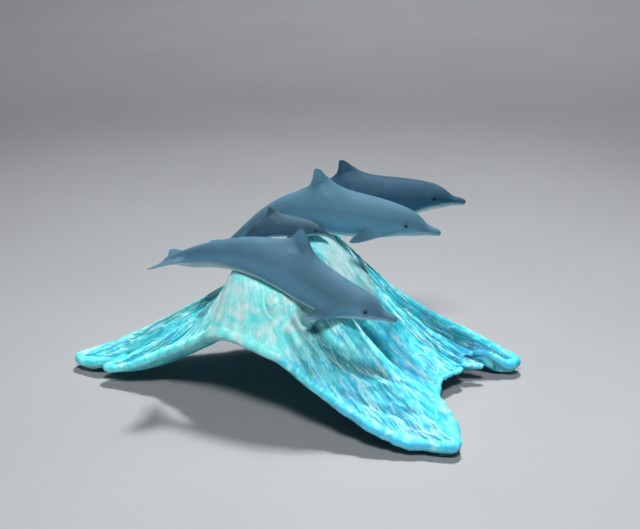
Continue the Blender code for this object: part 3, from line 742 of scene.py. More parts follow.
def raise_fin(bm, patch, root, axes, shape, span, length):
    """Extrudes a patch of the body's cage, ring by ring, into a fin."""
    chord, side = bm.verts.layers.float["chord"], bm.verts.layers.float["side"]
    for m, row in enumerate(patch):
        for n, vert in enumerate(row):
            vert[chord] = m / (len(patch) - 1)
            vert[side] = 2 * n / (len(row) - 1) - 1
    taken = {vert for row in patch for vert in row}
    faces = [face for face in bm.faces if all(vert in taken for vert in face.verts)]
    for row in shape[1:]:
        grown = bmesh.ops.extrude_face_region(bm, geom=faces)["geom"]
        if all(face.is_valid for face in faces):
            bmesh.ops.delete(bm, geom=faces, context="FACES_ONLY")
        faces = [part for part in grown if isinstance(part, bmesh.types.BMFace)]
        for vert in {vert for face in faces for vert in face.verts}:
            vert.co = fin_point(root, axes, shape, row[0], span, length, vert[chord], vert[side])


def patch_of(grid, ends, columns):
    """The corners of the cage between two stations and in some columns, from which a fin grows."""
    stations = [row[0] for row in BODY]
    first, last = (stations.index(end) for end in ends)
    return [[grid[i][j] for j in columns] for i in range(first, last + 1)]


def station_after(station):
    """The next of the body's stations."""
    return next(row[0] for row in BODY if row[0] > station)


def raise_dorsal(bm, grid, spine, dorsal):
    """Grows the fin of the back."""
    start = DORSAL_STATIONS[0]
    lead, span = dorsal
    after = station_after(start)
    root = spine.point(start) + spine.up(start) * spine.half_sizes(start)[0] * DORSAL_SEAT
    root += spine.forward(start) * spine.length * lead
    axes = (spine.up(after), -spine.forward(after), Vector((0, -1, 0)))
    raise_fin(bm, patch_of(grid, DORSAL_STATIONS, DORSAL_COLUMNS), root, axes, DORSAL, span, spine.length)


def raise_pectorals(bm, grid, spine, fins):
    """Grows the two flippers, which point outwards, down and aft."""
    start = PECTORAL_STATIONS[0]
    _, belly, breadth = spine.half_sizes(start)
    forward, up = spine.forward(start), spine.up(start)
    span, outward, down, aft = fins
    for hand, columns in SIDE_COLUMNS:
        side = Vector((0, hand, 0))
        out = (side * outward - up * down - forward * aft).normalized()
        back = (-forward + out * forward.dot(out)).normalized()
        root = spine.point(start) + side * breadth * PECTORAL_OUT - up * belly * PECTORAL_DOWN
        axes = (out, back, back.cross(out) * hand)
        patch = patch_of(grid, PECTORAL_STATIONS, columns)
        raise_fin(bm, patch, root, axes, PECTORAL, span, spine.length)


def raise_flukes(bm, grid, spine):
    """Grows the two flukes from the sides of the tail, a little upwards."""
    start = FLUKE_STATIONS[0]
    middle = station_after(start)
    for hand, columns in SIDE_COLUMNS:
        side = Vector((0, hand, 0))
        root = spine.point(start) + side * spine.half_sizes(start)[2] * FLUKE_OUT
        out = (side + spine.up(middle) * FLUKE_RISE).normalized()
        axes = (out, -spine.forward(middle), -spine.up(middle))
        patch = patch_of(grid, FLUKE_STATIONS, columns)
        raise_fin(bm, patch, root, axes, FLUKE, FLUKE_SPAN, spine.length)


def relax_roots(mesh, roots, radius):
    """Fairs the skin round the ends of the fins' roots, as a sculptor's thumb does."""
    bm = bmesh.new()
    bm.from_mesh(mesh)
    every_way = dict.fromkeys(("use_axis_x", "use_axis_y", "use_axis_z"), True)
    for root in roots:
        near = [vert for vert in bm.verts if (vert.co - root).length < radius]
        for _ in range(ROOT_PASSES):
            bmesh.ops.smooth_vert(bm, verts=near, factor=0.5, **every_way)
    bm.to_mesh(mesh)
    bm.free()


def smooth_body(dolphin, spine, levels):
    """The dolphin's smooth mesh in its own plane, with every modifier applied."""
    bm = bmesh.new()
    bm.verts.layers.float.new("chord")
    bm.verts.layers.float.new("side")
    grid = body_cage(bm, spine)
    corners = patch_of(grid, DORSAL_STATIONS, DORSAL_COLUMNS)
    roots = [row[k].co.copy() for row in (corners[0], corners[-1]) for k in (0, -1)]
    raise_dorsal(bm, grid, spine, dolphin["dorsal"])
    raise_pectorals(bm, grid, spine, dolphin["fins"])
    raise_flukes(bm, grid, spine)
    cage = linked("cage", mesh_from(bm, "cage"))
    smooth = cage.modifiers.new("smooth", "SUBSURF")
    smooth.levels = smooth.render_levels = levels
    made = applied(cage)
    for name in ("chord", "side"):
        made.attributes.remove(made.attributes[name])
    relax_roots(made, roots, ROOT_RADIUS * spine.length)
    made.shade_smooth()
    return made


def crest_point(share):
    """A point of the crest's middle line, by its share of the way from the near end to the far end."""
    return Vector(smooth_through((0.0, 0.5, 1.0), [row[0] for row in CREST], share)[0])


def place_of(name):
    """The matrix that puts a dolphin on the crest, or the calf on its mother's flank."""
    if name in POD:
        dolphin = POD[name]
        place = crest_point(dolphin["crest"]) - Vector((0, 0, dolphin["sink"])) + SHIFT
        return Matrix.Translation(place) @ Matrix.Rotation(math.radians(dolphin["heading"]), 4, "Z")
    mother, calf = Spine(POD[CALF["mother"]]), Spine(CALF)
    beside = CALF["beside"]
    flank = mother.point(beside) - Vector((0, mother.half_sizes(beside)[2], CALF["lower"]))
    _, belly, breadth = calf.half_sizes(CALF["seat"])
    flank.y -= breadth - CALF["sink"]
    flank.z -= belly
    place = place_of(CALF["mother"]) @ flank
    return Matrix.Translation(place) @ Matrix.Rotation(math.radians(CALF["heading"]), 4, "Z")


def groove(distance, width, depth):
    """How a groove moves the skin at a distance from its middle."""
    return -depth * np.exp(-((distance / width) ** 2))


def carve_head(mesh, dolphin, spine, sizes):
    """Cuts the mouth line and the blowhole, and raises the lid round each eye."""
    points, normals = points_of(mesh), normals_of(mesh)
    station, height = spine.stations_of(points)
    length, side = spine.length, points[:, 1]
    scale = length / POD["dolphin_front"]["length"]
    stations, heights = MOUTH
    corner = stations[-1]
    line = smooth_through(stations, heights, np.clip(station, 0, corner))[:, 0] * length
    fade = smooth_step(station, corner + MOUTH_FADE[0], corner + MOUTH_FADE[1])
    move = groove(height - line, sizes.mouth_width * scale, sizes.mouth_depth * scale) * fade
    bow = BLOWHOLE_BOW * scale
    arc = np.hypot((station - BLOWHOLE_STATION) * length - bow, side) - bow
    top = height > BLOWHOLE_HEIGHT * spine.half_sizes(BLOWHOLE_STATION)[0]
    near = smooth_step(np.abs(side), *(end * scale for end in BLOWHOLE_ENDS)) * top
    near = near * (station < BLOWHOLE_STATION + BLOWHOLE_SPAN)
    move += groove(arc, BLOWHOLE_WIDTH * scale, BLOWHOLE_WIDTH * scale) * near
    eyes = [np.array(place) for place, _ in eye_points(dolphin, spine)]
    away = np.min([np.linalg.norm(points - eye, axis=1) for eye in eyes], axis=0)
    ring = (away - EYE_RADIUS * scale * LID_PLACE) / (LID_WIDTH * scale)
    move += LID_HEIGHT * scale * np.exp(-(ring**2))
    move_points(mesh, points + normals * move[:, None])
    return station


def eye_points(dolphin, spine):
    """Where the eyes are on the body, and the way that each looks."""
    station, height = dolphin["eye"]
    back, belly, breadth = spine.half_sizes(station)
    height *= spine.length
    reach = back if height > 0 else belly
    side = breadth * math.sqrt(max(0.0, 1 - (height / reach) ** 2))
    middle = spine.point(station) + spine.up(station) * height
    slope = Vector((0, 1, 0)) * (side / breadth**2) + spine.up(station) * (height / reach**2)
    eyes = []
    for hand in (1, -1):
        look = Vector((slope.x, slope.y * hand, slope.z)).normalized()
        look = (look + spine.forward(station) * EYE_AHEAD).normalized()
        eyes.append((middle + Vector((0, side * hand, 0)), look))
    return eyes


def airbrushed_resin(name, back, side, belly):
    """Cast polyurethane resin, airbrushed in soft fades and sealed with satin lacquer. It gives broad,
    dull highlights and a faint orange peel."""
    made, tree, shader = shader_tree(name)
    pale, dark, shade = (
        add_node(tree, "ShaderNodeAttribute", attribute_name=key).outputs["Fac"]
        for key in ("pale", "dark", "shade")
    )
    place = add_node(tree, "ShaderNodeTexCoord").outputs["Object"]
    # Airbrush spray falls in soft clouds about 20 mm across, over a fine mist of about 0.5 mm.
    cloud, mist = (
        add_node(tree, "ShaderNodeTexNoise", {"Vector": place, "Scale": scale, "Detail": detail}).outputs[0]
        for scale, detail in ((50.0, 3.0), (1800.0, 2.0))
    )
    wander = add_node(tree, "ShaderNodeMath", {0: cloud, 1: -0.5}, operation="ADD").outputs[0]
    faded, edged = (
        add_node(tree, "ShaderNodeMath", {0: wander, 1: width, 2: value}, operation="MULTIPLY_ADD").outputs[0]
        for value, width in ((shade, CLOUD_FADE), (pale, BELLY_WANDER))
    )
    deep = tuple(c * STROKE_DEPTH for c in back[:3]) + (1.0,)
    paint = back
    for share, colour in ((faded, side), (dark, deep), (edged, belly)):
        inputs = {0: share, 6: paint, 7: colour}
        paint = add_node(tree, "ShaderNodeMix", inputs, data_type="RGBA", clamp_factor=True).outputs[2]
    # The mist leaves specks 6 % lighter and darker, and the lacquer varies as the clouds do.
    speck = add_node(tree, "ShaderNodeMapRange", {0: mist, 1: 0.3, 2: 0.7, 3: 0.94, 4: 1.06}).outputs[0]
    inputs = {0: 1.0, 6: paint, 7: speck}
    grain = add_node(tree, "ShaderNodeMix", inputs, data_type="RGBA", blend_type="MULTIPLY")
    satin = add_node(tree, "ShaderNodeMapRange", {0: cloud, 1: 0.3, 2: 0.7, 3: 0.70, 4: 0.78})
    peel = add_node(tree, "ShaderNodeBump", {"Height": mist, "Strength": 0.12, "Distance": 0.1 * MM})
    tree.links.new(grain.outputs[2], shader.inputs["Base Color"])
    tree.links.new(satin.outputs[0], shader.inputs["Roughness"])
    tree.links.new(peel.outputs[0], shader.inputs["Normal"])
    # The lacquer is matted, so it reflects less than a clear one would.
    shader.inputs["IOR"].default_value = 1.45
    shader.inputs["Specular IOR Level"].default_value = 0.25
    return made


def painted_root_wood(settings):
    """Weathered root wood, carved along its grain, airbrushed from pale mint at the crest to blue at the
    feet, glazed teal in its hollows, dry-brushed white on its edges, and sealed with satin varnish."""
    made, tree, shader = shader_tree("airbrushed_root_wood_satin_varnish")
    level, tone, deep, pale, band, edge_of_rim, under = (
        add_node(tree, "ShaderNodeAttribute", attribute_name=name).outputs["Fac"]
        for name in ("level", "tone", "deep", "pale", "band", "edge", "under")
    )
    grain = add_node(tree, "ShaderNodeAttribute", attribute_name="grain").outputs["Vector"]
    place = add_node(tree, "ShaderNodeTexCoord").outputs["Object"]
    # Clouds of the airbrush about 25 mm across, and sponged patches about 6 mm and 10 mm across.
    cloud, worn, damp = (
        add_node(tree, "ShaderNodeTexNoise", {"Vector": place, "Scale": scale, "Detail": detail}).outputs[0]
        for scale, detail in ((40.0, 3.0), (160.0, 4.0), (95.0, 3.0))
    )
    # Where the cells of the wood show, where the sponge went, and where white was used freely.
    carved = mask_of(tree, (pale, 0.35, 0.9, 1.0, 0.0), (edge_of_rim, 0.0, 0.7, 1.0, 0.15))
    sponged = mask_of(tree, (pale, 0.2, 0.8, 1.0, 0.15))
    upper = mask_of(tree, (tone, 0.12, 0.42, 0.62, 1.0))

    # The airbrush fades from colour to colour.
    wander = add_node(tree, "ShaderNodeMath", {0: cloud, 1: -0.5}, operation="ADD").outputs[0]
    stops = (
        (0.0, settings.blue),
        (1.0, settings.white),
        (0.22, settings.cyan),
        (0.50, settings.aqua),
        (0.80, settings.mint),
    )
    inputs = {0: wander, 1: PAINT_WANDER, 2: tone}
    blend = add_node(tree, "ShaderNodeMath", inputs, operation="MULTIPLY_ADD").outputs[0]
    paint = add_node(tree, "ShaderNodeValToRGB", {0: blend}, stops=stops).outputs[0]

    # Sponged on while wet: soft white patches and deeper blue ones.
    paint = coat(tree, paint, settings.white, sponged, upper, (worn, 0.53, 0.70, 0.0, 0.65))
    paint = coat(tree, paint, settings.blue, sponged, (worn, 0.48, 0.33, 0.0, 0.75))
    paint = coat(tree, paint, settings.turquoise, sponged, (damp, 0.48, 0.33, 0.0, 0.58))

    # The torn cells of the wood, between 4 and 5 mm wide, each took the paint in its own way.
    seed, other_seed = (VEIN_SEED,) * 3, (PATCH_SEED,) * 3
    edge, own = along_grain(tree, grain, level, settings.cell_width, CELL_STRETCH, seed, CELLS)
    paint = coat(tree, paint, settings.turquoise, carved, 0.45, (own, 0.46, 0.36))
    paint = coat(tree, paint, settings.blue, carved, (own, 0.56, 0.62), (tone, 0.25, 0.7, 0.30, 0.0))

    # Streaks of teal glaze and of white follow the fibres: about 2.4 mm wide and 17 mm long.
    (fibre,) = along_grain(tree, grain, level, settings.fibre_width, FIBRE_STRETCH, seed, FIBRES)
    (patch,) = along_grain(tree, grain, level, 3 * settings.fibre_width, CELL_STRETCH, other_seed, FIBRES)
    glaze = mask_of(tree, carved, 0.65, (patch, 0.47, 0.36), (fibre, 0.62, 0.40))
    paint = coat(tree, paint, settings.turquoise, glaze)
    mist = mask_of(tree, carved, upper, 0.55, (patch, 0.50, 0.62), (fibre, 0.42, 0.60))
    paint = coat(tree, paint, settings.white, mist)

    # The front face is smooth, and marbled in swirls about 12 mm across, bent by slower ones of 22 mm.
    bend = add_node(tree, "ShaderNodeTexNoise", {"Vector": place, "Scale": 45.0, "Detail": 2.0}).outputs[1]
    inputs = {0: bend, 1: (45 * MM,) * 3, 2: place}
    swirled = add_node(tree, "ShaderNodeVectorMath", inputs, operation="MULTIPLY_ADD").outputs[0]
    swirl = add_node(tree, "ShaderNodeTexNoise", {"Vector": swirled, "Scale": 85.0, "Detail": 3.0}).outputs[0]
    stops = ((0.38, settings.aqua), (0.62, settings.white), (0.50, settings.mint))
    marble = add_node(tree, "ShaderNodeValToRGB", {0: swirl}, stops=stops).outputs[0]
    paint = coat(tree, paint, marble, (pale, 0.15, 0.85), (tone, 0.88, 0.98, 0.85, 0.2))

    # The band along the right ridge is deep teal, partly paint and partly the middle dolphin's painted
    # shadow, with the root's dark pores about 5 mm apart in it.
    pore = add_node(tree, "ShaderNodeTexVoronoi", {"Vector": place, "Scale": 190.0}).outputs["Distance"]
    paint = coat(tree, paint, settings.turquoise, band, (fibre, 0.35, 0.60, 0.95, 0.35))
    paint = coat(tree, paint, settings.groove, band, (pore, 0.26, 0.14), (patch, 0.45, 0.5))

    # Grooves keep the dark glaze, which is partly painted shade in the furrows and the cavity, and the lips
    # between the cells take the dry brush.
    paint = coat(tree, paint, settings.groove, deep, 0.85)
    lip = mask_of(tree, (edge, 0.11, 0.0), (patch, 0.42, 0.56, 0.10, 0.55), carved, upper)
    paint = coat(tree, paint, settings.white, lip)
    paint = coat(tree, paint, settings.mint, upper, 0.55, (edge_of_rim, 0.85, 1.0))
    paint = coat(tree, paint, settings.turquoise, under)

    # Fine fibres about 0.8 mm apart show in the varnish, which is a little duller along the streaks.
    (fine,) = along_grain(tree, grain, level, FINE_FIBRE_WIDTH, FIBRE_STRETCH, seed, FIBRES)
    shaded = mask_of(tree, (edge_of_rim, 0.0, 0.6, 0.84, 0.97))
    lines = mask_of(tree, (fine, 0.3, 0.7, shaded, 1.06))
    inputs = {0: 1.0, 6: paint, 7: lines}
    lined = add_node(tree, "ShaderNodeMix", inputs, data_type="RGBA", blend_type="MULTIPLY")
    lift = mask_of(tree, (edge, 0.16, 0.0, 0.0, 0.9), carved)
    inputs = {0: fine, 1: FINE_FIBRE_SHARE, 2: lift}
    height = add_node(tree, "ShaderNodeMath", inputs, operation="MULTIPLY_ADD").outputs[0]
    bump = add_node(tree, "ShaderNodeBump", {"Height": height, "Strength": 0.5, "Distance": 0.5 * MM})
    tree.links.new(lined.outputs[2], shader.inputs["Base Color"])
    tree.links.new(mask_of(tree, (fibre, 0.3, 0.7, 0.42, 0.58)), shader.inputs["Roughness"])
    tree.links.new(bump.outputs[0], shader.inputs["Normal"])
    shader.inputs["IOR"].default_value = 1.48
    return made


def eye_enamel():
    """Gloss black enamel, dropped on by hand, so that it stands up as a shiny bead."""
    made, tree, shader = shader_tree("gloss_black_enamel")
    place = add_node(tree, "ShaderNodeTexCoord").outputs["Object"]
    # Dust in the enamel, about 0.4 mm apart, varies its gloss and its black.
    dust = add_node(tree, "ShaderNodeTexNoise", {"Vector": place, "Scale": 2500.0, "Detail": 2.0}).outputs[0]
    gloss = add_node(tree, "ShaderNodeMapRange", {0: dust, 1: 0.3, 2: 0.7, 3: 0.06, 4: 0.12})
    stops = ((0.3, from_hex("020203")), (0.7, from_hex("050607")))
    tint = add_node(tree, "ShaderNodeValToRGB", {0: dust}, stops=stops)
    tree.links.new(tint.outputs[0], shader.inputs["Base Color"])
    tree.links.new(gloss.outputs[0], shader.inputs["Roughness"])
    shader.inputs["IOR"].default_value = 1.5
    return made


def clear_polyurethane():
    """Cast clear polyurethane, soft and a little cloudy, with a smooth domed face."""
    made, tree, shader = shader_tree("clear_cast_polyurethane")
    place = add_node(tree, "ShaderNodeTexCoord").outputs["Object"]
    # Handling leaves a haze in spots about 1 mm across.
    haze = add_node(tree, "ShaderNodeTexNoise", {"Vector": place, "Scale": 900.0, "Detail": 2.0}).outputs[0]
    gloss = add_node(tree, "ShaderNodeMapRange", {0: haze, 1: 0.3, 2: 0.7, 3: 0.05, 4: 0.14})
    ripple = add_node(tree, "ShaderNodeBump", {"Height": haze, "Strength": 0.08, "Distance": 0.1 * MM})
    tree.links.new(gloss.outputs[0], shader.inputs["Roughness"])
    tree.links.new(ripple.outputs[0], shader.inputs["Normal"])
    shader.inputs["Base Color"].default_value = from_hex("f4f8f8")
    shader.inputs["Transmission Weight"].default_value = 0.92
    shader.inputs["IOR"].default_value = 1.49
    return made


def backdrop_paper():
    """Matt grey seamless paper. It takes no gloss, and its fibres show only as a faint mottle."""
    made, tree, shader = shader_tree("matt_seamless_paper")
    place = add_node(tree, "ShaderNodeTexCoord").outputs["Object"]
    # The mottle is in clouds about 170 mm across, with finer ones inside them.
    mottle = add_node(tree, "ShaderNodeTexNoise", {"Vector": place, "Scale": 6.0, "Detail": 6.0}).outputs[0]
    stops = ((0.3, from_hex("898b8e")), (0.7, from_hex("8d8f92")))
    tint = add_node(tree, "ShaderNodeValToRGB", {0: mottle}, stops=stops)
    tree.links.new(tint.outputs[0], shader.inputs["Base Color"])
    shader.inputs["Roughness"].default_value = 0.85
    return made


def grown_knots():
    """The rim's knots, as place, edge radius and powers. A tongue has one at its tip and one each side."""
    knots, names = [], []
    for name, place, half_width, radius, powers in RIM:
        heading = heading_of(place)
        out = np.array((math.cos(heading), math.sin(heading), 0.0))
        across = np.array((-out[1], out[0], 0.0)) * half_width
        root = np.array(place) - out * half_width
        places = [root - across, place, root + across] if half_width else [place]
        knots += [(*p, radius, *powers) for p in places]
        names += [name] * len(places)
    return knots, names


def rim_line():
    """Points, edge radii and powers round the rim, the outward way at each, and how far along it is."""
    knots, names = grown_knots()
    loop = np.array(knots[-2:] + knots + knots[:3])
    along = np.concatenate([[0.0], np.cumsum(np.linalg.norm(np.diff(loop[:, :3], axis=0), axis=1))])
    places = []
    for name, begin, end in zip(names, along[2:-3], along[3:-2]):
        step = BACK_STEP if name.startswith("back") else FRONT_STEP
        count = max(1, round((end - begin) / step))
        places += [begin + (end - begin) * k / count for k in range(count)]
    rim = smooth_through(along, loop, np.array(places))
    ahead = np.roll(rim[:, :2], -1, axis=0) - np.roll(rim[:, :2], 1, axis=0)
    outward = np.stack([ahead[:, 1], -ahead[:, 0], 0 * ahead[:, 0]], axis=1)
    outward /= np.linalg.norm(outward, axis=1, keepdims=True)
    places = np.array(places)
    thin = smooth_step(rim[:, 3], THIN_EDGE, CUT_EDGE / 2)
    loop_length = along[-3] - along[2]
    for wave, thick_move, thin_move in SCALLOPS:
        turns = round(loop_length / wave) * 2 * math.pi * (places - along[2]) / loop_length
        wander = np.sin(turns + SCALLOP_DRIFT * np.sin(turns / SCALLOP_RUN))
        rim[:, :3] += outward * (wander * (thick_move + (thin_move - thick_move) * thin))[:, None]
    return rim, outward, places


def crest_knots():
    """Headings of spokes, growing, with the points of the crest's edge and middle line they leave."""
    near, middle, far = (np.array(row[0]) for row in CREST)
    right = [(heading, np.array(point) + side, np.array(point)) for point, side, heading, _ in CREST]
    left = [(heading, np.array(point) - side, np.array(point)) for point, side, _, heading in CREST]
    beyond_far = far + (far - middle) * CREST_END / np.linalg.norm(far - middle)
    beyond_near = near + (near - middle) * CREST_END / np.linalg.norm(near - middle)
    far_end = (right[2][0] + left[2][0]) / 2, beyond_far, far
    near_end = (right[0][0] + left[0][0] - 360) / 2, beyond_near, near
    return [near_end, *right, far_end, *left[::-1]]


def crest_edge(headings):
    """The points of the crest's edge and middle line that the spokes with these headings leave."""
    knots = crest_knots()
    before = [(knots[-1][0] - 360, *knots[-1][1:])]
    after = [(knot[0] + 360, *knot[1:]) for knot in knots[:2]]
    turns, edges, middles = zip(*before, *knots, *after)
    turn = (np.degrees(headings) - knots[0][0]) % 360 + knots[0][0]
    return smooth_through(turns, edges, turn), smooth_through(turns, middles, turn)


def spoke_headings(rim):
    """The headings of the spokes to the points of the rim, which only grow and never double back."""
    actual = np.unwrap(heading_of(rim[:, :3]))
    lowest = np.minimum.accumulate(actual[::-1])[::-1]
    grown = (np.maximum.accumulate(actual) + lowest) / 2
    even = actual[0] + np.linspace(0.0, 2 * math.pi, len(rim), endpoint=False)
    return grown + (even - grown) * EVEN_SHARE


def fall(share, bulge, run_out):
    """The height left at a share of the way down a slope, from 1 at its top to 0 at its foot."""
    return (1 - share**bulge) ** run_out


def full_shape(rim, headings, starts):
    """The stretch, foot height and powers that each spoke would have if the rim had no cuts in it."""
    reach = np.linalg.norm(rim[:, :2] - starts[:, :2], axis=1)
    whole = rim[:, 3] >= CUT_EDGE
    columns = (reach, rim[:, 2] + rim[:, 3], rim[:, 4], rim[:, 5])
    full = [np.interp(headings, headings[whole], column[whole], period=2 * math.pi) for column in columns]
    return (full[0] / reach, *full[1:])


def top_heights(shares, start, edge, full):
    """Heights along the spokes. A spoke that is cut short bends at its end to meet the rim."""
    stretch, foot, bulge, run_out = full
    at_share = foot + (start - foot) * fall(np.minimum(1.0, shares / stretch), bulge, run_out)
    at_rim = foot + (start - foot) * fall(np.minimum(1.0, 1.0 / stretch), bulge, run_out)
    return at_share + (edge - at_rim) * shares**CUT_BANK


def carve(places, headings, shares):
    """How the gullies and the burl move the points of the top."""
    heights, rims = 0.0, rim_places()
    for name, half_width, depth, deepest, end in GULLIES:
        turn = np.degrees(headings - heading_of(np.array(rims[name])))
        across = np.abs((turn + 180) % 360 - 180) / half_width
        along = np.minimum(shares / deepest, np.maximum(0.0, (end - shares) / (end - deepest)))
        heights = heights - depth * smooth_step(1 - across) * smooth_step(along)
    away = places - np.array(CREST[0][0]) - np.array(BURL_OFFSET)
    far = np.linalg.norm(away, axis=-1, keepdims=True)
    move = away / far * BURL_RISE * np.exp(-((far / BURL_RADIUS) ** 2))
    move[..., 2] += heights
    return move


def distance_to_line(points, line):
    """Distance of points in plan to a line, and the side that they are on: 1 left, -1 right."""
    best, side = np.full(points.shape[:-1], np.inf), np.ones(points.shape[:-1])
    for begin, end in zip(line[:-1], line[1:]):
        begin, way = np.array(begin), np.array(end) - np.array(begin)
        away = points[..., :2] - begin
        share = np.clip((away @ way) / (way @ way), 0.0, 1.0)
        distance = np.linalg.norm(away - share[..., None] * way, axis=-1)
        turn = np.sign(way[0] * away[..., 1] - way[1] * away[..., 0])
        side = np.where(distance < best, turn, side)
        best = np.minimum(best, distance)
    return best, side


def carved_lines(places):
    """Heights of the furrows and ridges at these places, and how dark their glaze is, which is partly painted
    shade in the furrows and the cavity.
    """
    heights, deep = np.zeros(places.shape[:-1]), np.zeros(places.shape[:-1])
    for line, height, left, right, glaze in CARVED_LINES:
        fine = smooth_through(np.arange(len(line)), line, np.linspace(0, len(line) - 1, 4 * len(line)))
        distance, side = distance_to_line(places, fine)
        width = np.where(side > 0, left, right)
        shape = smooth_step(1 - distance / width)
        heights += height * shape
        deep = np.maximum(deep, glaze * shape)
    distance = np.linalg.norm(places[..., :2] - np.array(CAVITY_MIDDLE), axis=-1)
    shape = smooth_step(1 - distance / CAVITY_RADIUS)
    away = np.linalg.norm(places[..., :2] - np.array(SHOULDER_MIDDLE), axis=-1)
    heights += SHOULDER_RISE * np.exp(-((away / SHOULDER_RADIUS) ** 2)) - CAVITY_DEPTH * shape
    return heights, np.maximum(deep, shape)


def distance_to_pads(points):
    """How far points are in plan from the middle of the nearest bumper pad."""
    return np.min([np.linalg.norm(points[..., :2] - pad_centre(name), axis=-1) for name in PADS], axis=0)


def wave_grid():
    """Rings of points from the crest over the rim to the middle of the underside, how dark the glaze
    and the painted shade in the furrows are on the top, and how far along the rim each column is."""
    rim, outward, rim_along = rim_line()
    headings = spoke_headings(rim)
    starts, middles = crest_edge(headings)
    full = full_shape(rim, headings, starts)
    edge_top = rim[:, 2] + rim[:, 3]

    crest = np.linspace(CREST_CORE, 1.0, CREST_ROWS, endpoint=False)[:, None, None]
    crest_rows = middles + (starts - middles) * crest
    shares = (np.linspace(0.0, 1.0, TOP_ROWS) ** TOP_CROWDING)[:, None]
    top = starts + (rim[:, :3] - starts) * shares[..., None]
    top[..., 2] = top_heights(shares, starts[:, 2], edge_top, full)
    fade = (1 - shares**CARVE_FADE)[..., None]
    top = top + carve(top, headings, shares) * fade
    lines, deep = carved_lines(top)
    top[..., 2] += lines * fade[..., 0]

    angles = np.pi * (0.5 - np.arange(1, EDGE_ROWS + 1) / (EDGE_ROWS + 1))[:, None, None]
    around = outward * np.cos(angles) + np.array((0.0, 0.0, 1.0)) * np.sin(angles)
    edge = rim[:, :3] + around * rim[:, 3][:, None]

    under_shares = np.linspace(1.0, 0.0, UNDER_ROWS)[:, None]
    under = starts + (rim[:, :3] - starts) * under_shares[..., None]
    heights = top_heights(under_shares, starts[:, 2], edge_top, full)
    thin = 2 * rim[:, 3]
    wall = thin + (CREST_THICKNESS - thin) * fall(under_shares, full[2], full[3]) ** WALL_THINNING
    low = np.maximum(heights - wall, SOLE_HEIGHT)
    sole = smooth_step((distance_to_pads(under) - PAD_RADIUS - SOLE_MARGIN) / SOLE_RUNOUT)
    under[..., 2] = SOLE_HEIGHT + (low - SOLE_HEIGHT) * sole

    points = np.concatenate([crest_rows, top, edge, under])
    soften_crest(points)
    return points, deep, rim_along


def soften_crest(points):
    """Rounds the crest's edge, as sanding does, by smoothing each column across it."""
    first, last = 1, CREST_ROWS + SOFT_ROWS
    for _ in range(SOFT_PASSES):
        beside = points[first - 1 : last - 1] + points[first + 1 : last + 1]
        points[first:last] = points[first:last] * 0.5 + beside * 0.25


def grain_of(points, rim_along):
    """Grain coordinates in millimetres: two round the wave, joined in a loop, and one along the fibres."""
    loop = rim_along[-1] - rim_along[0]
    turn = (rim_along - rim_along[0]) / loop * 2 * math.pi
    radius = loop / MM / (2 * math.pi)
    steps = np.linalg.norm(np.diff(points, axis=0), axis=2) / MM
    along = np.concatenate([np.zeros((1, points.shape[1])), np.cumsum(steps, axis=0)])
    around = [np.broadcast_to(side * radius, along.shape) for side in (np.cos(turn), np.sin(turn))]
    return np.stack([*around, along], axis=2)


def level_of(points, rim_along):
    """How many times the spokes are drawn together here, as a power of two."""
    apart = np.linalg.norm(np.roll(points, -1, axis=1) - np.roll(points, 1, axis=1), axis=2)
    loop = np.concatenate([[rim_along[0] - BACK_STEP], rim_along, [rim_along[-1] + BACK_STEP]])
    spread = apart / (loop[2:] - loop[:-2])
    for _ in range(SPREAD_PASSES):
        spread = (spread + np.roll(spread, 1, axis=1) + np.roll(spread, -1, axis=1)) / 3
    return np.clip(-np.log2(np.maximum(spread, LEAST_SPREAD)), 0.0, WIDTHS - 1.0)


def zone(points, middle, reach, inner, outer):
    """1 inside an egg-shaped zone, fading to 0 outside it."""
    away = np.linalg.norm((points - np.array(middle)) / np.array(reach), axis=-1)
    return smooth_step(away, outer, inner)


def tone_of(points):
    """How pale the paint is: 0 is the blue of the feet and 1 is the mint of the crest and front face."""
    rise, low, high = HEIGHT_TONE
    tone = FOOT_TONE + rise * smooth_step(points[..., 2] / CREST[1][0][2], low, high)
    tone += LEG_TONE[0] * smooth_step(points[..., 0], *LEG_TONE[1:])
    tone += FACE_TONE[0] * zone(points, FACE_MIDDLE, FACE_REACH, *FACE_TONE[1:])
    # The saddle is made paler partly as painted light against the middle dolphin's shade.
    tone += SADDLE_TONE_AND_PAINTED_LIGHT[0] * zone(points, SADDLE_MIDDLE, SADDLE_REACH, *SADDLE_TONE_AND_PAINTED_LIGHT[1:])
    return np.clip(tone, 0.0, 1.0)


def roughness_of(points):
    """How deep the grain is carved: full on the top, shallow underneath, none on the soles."""
    rough = np.full(points.shape[:2], UNDER_GRAIN)
    rough[:CREST_ROWS] = CREST_GRAIN
    rough[ON_TOP] = TOP_GRAIN
    rough[ON_EDGE] = np.linspace(*EDGE_GRAIN, EDGE_ROWS)[:, None]
    rough[-1] = 0.0
    low = smooth_step(points[..., 2], *(SOLE_HEIGHT + height for height in SOLE_FADE))
    near = PAD_RADIUS + SOLE_MARGIN
    sole = smooth_step(distance_to_pads(points), near, near + SOLE_RUNOUT)
    face = zone(points, FACE_MIDDLE, FACE_REACH, *FACE_PAINT)
    return rough * np.maximum(low, sole) * (1 - FACE_SMOOTHING * face)


def rim_paint(shape):
    """How far round the rim the paint is, from 0 on the top to 1 on the edge, and how far underneath."""
    rim, below = np.zeros((2, *shape))
    fade_in, fade_over, fade_out = RIM_ROWS
    rim[ON_TOP] = 0.5 * smooth_step(np.arange(TOP_ROWS), TOP_ROWS - fade_in, TOP_ROWS)[:, None]
    rim[ON_EDGE] = 0.5 + 0.5 * smooth_step(np.arange(EDGE_ROWS), 0, EDGE_ROWS - fade_over)[:, None]
    below[UNDERNEATH] = smooth_step(np.arange(UNDER_ROWS), 0, fade_out)[:, None]
    rim[UNDERNEATH] = 1 - below[UNDERNEATH]
    return rim, below


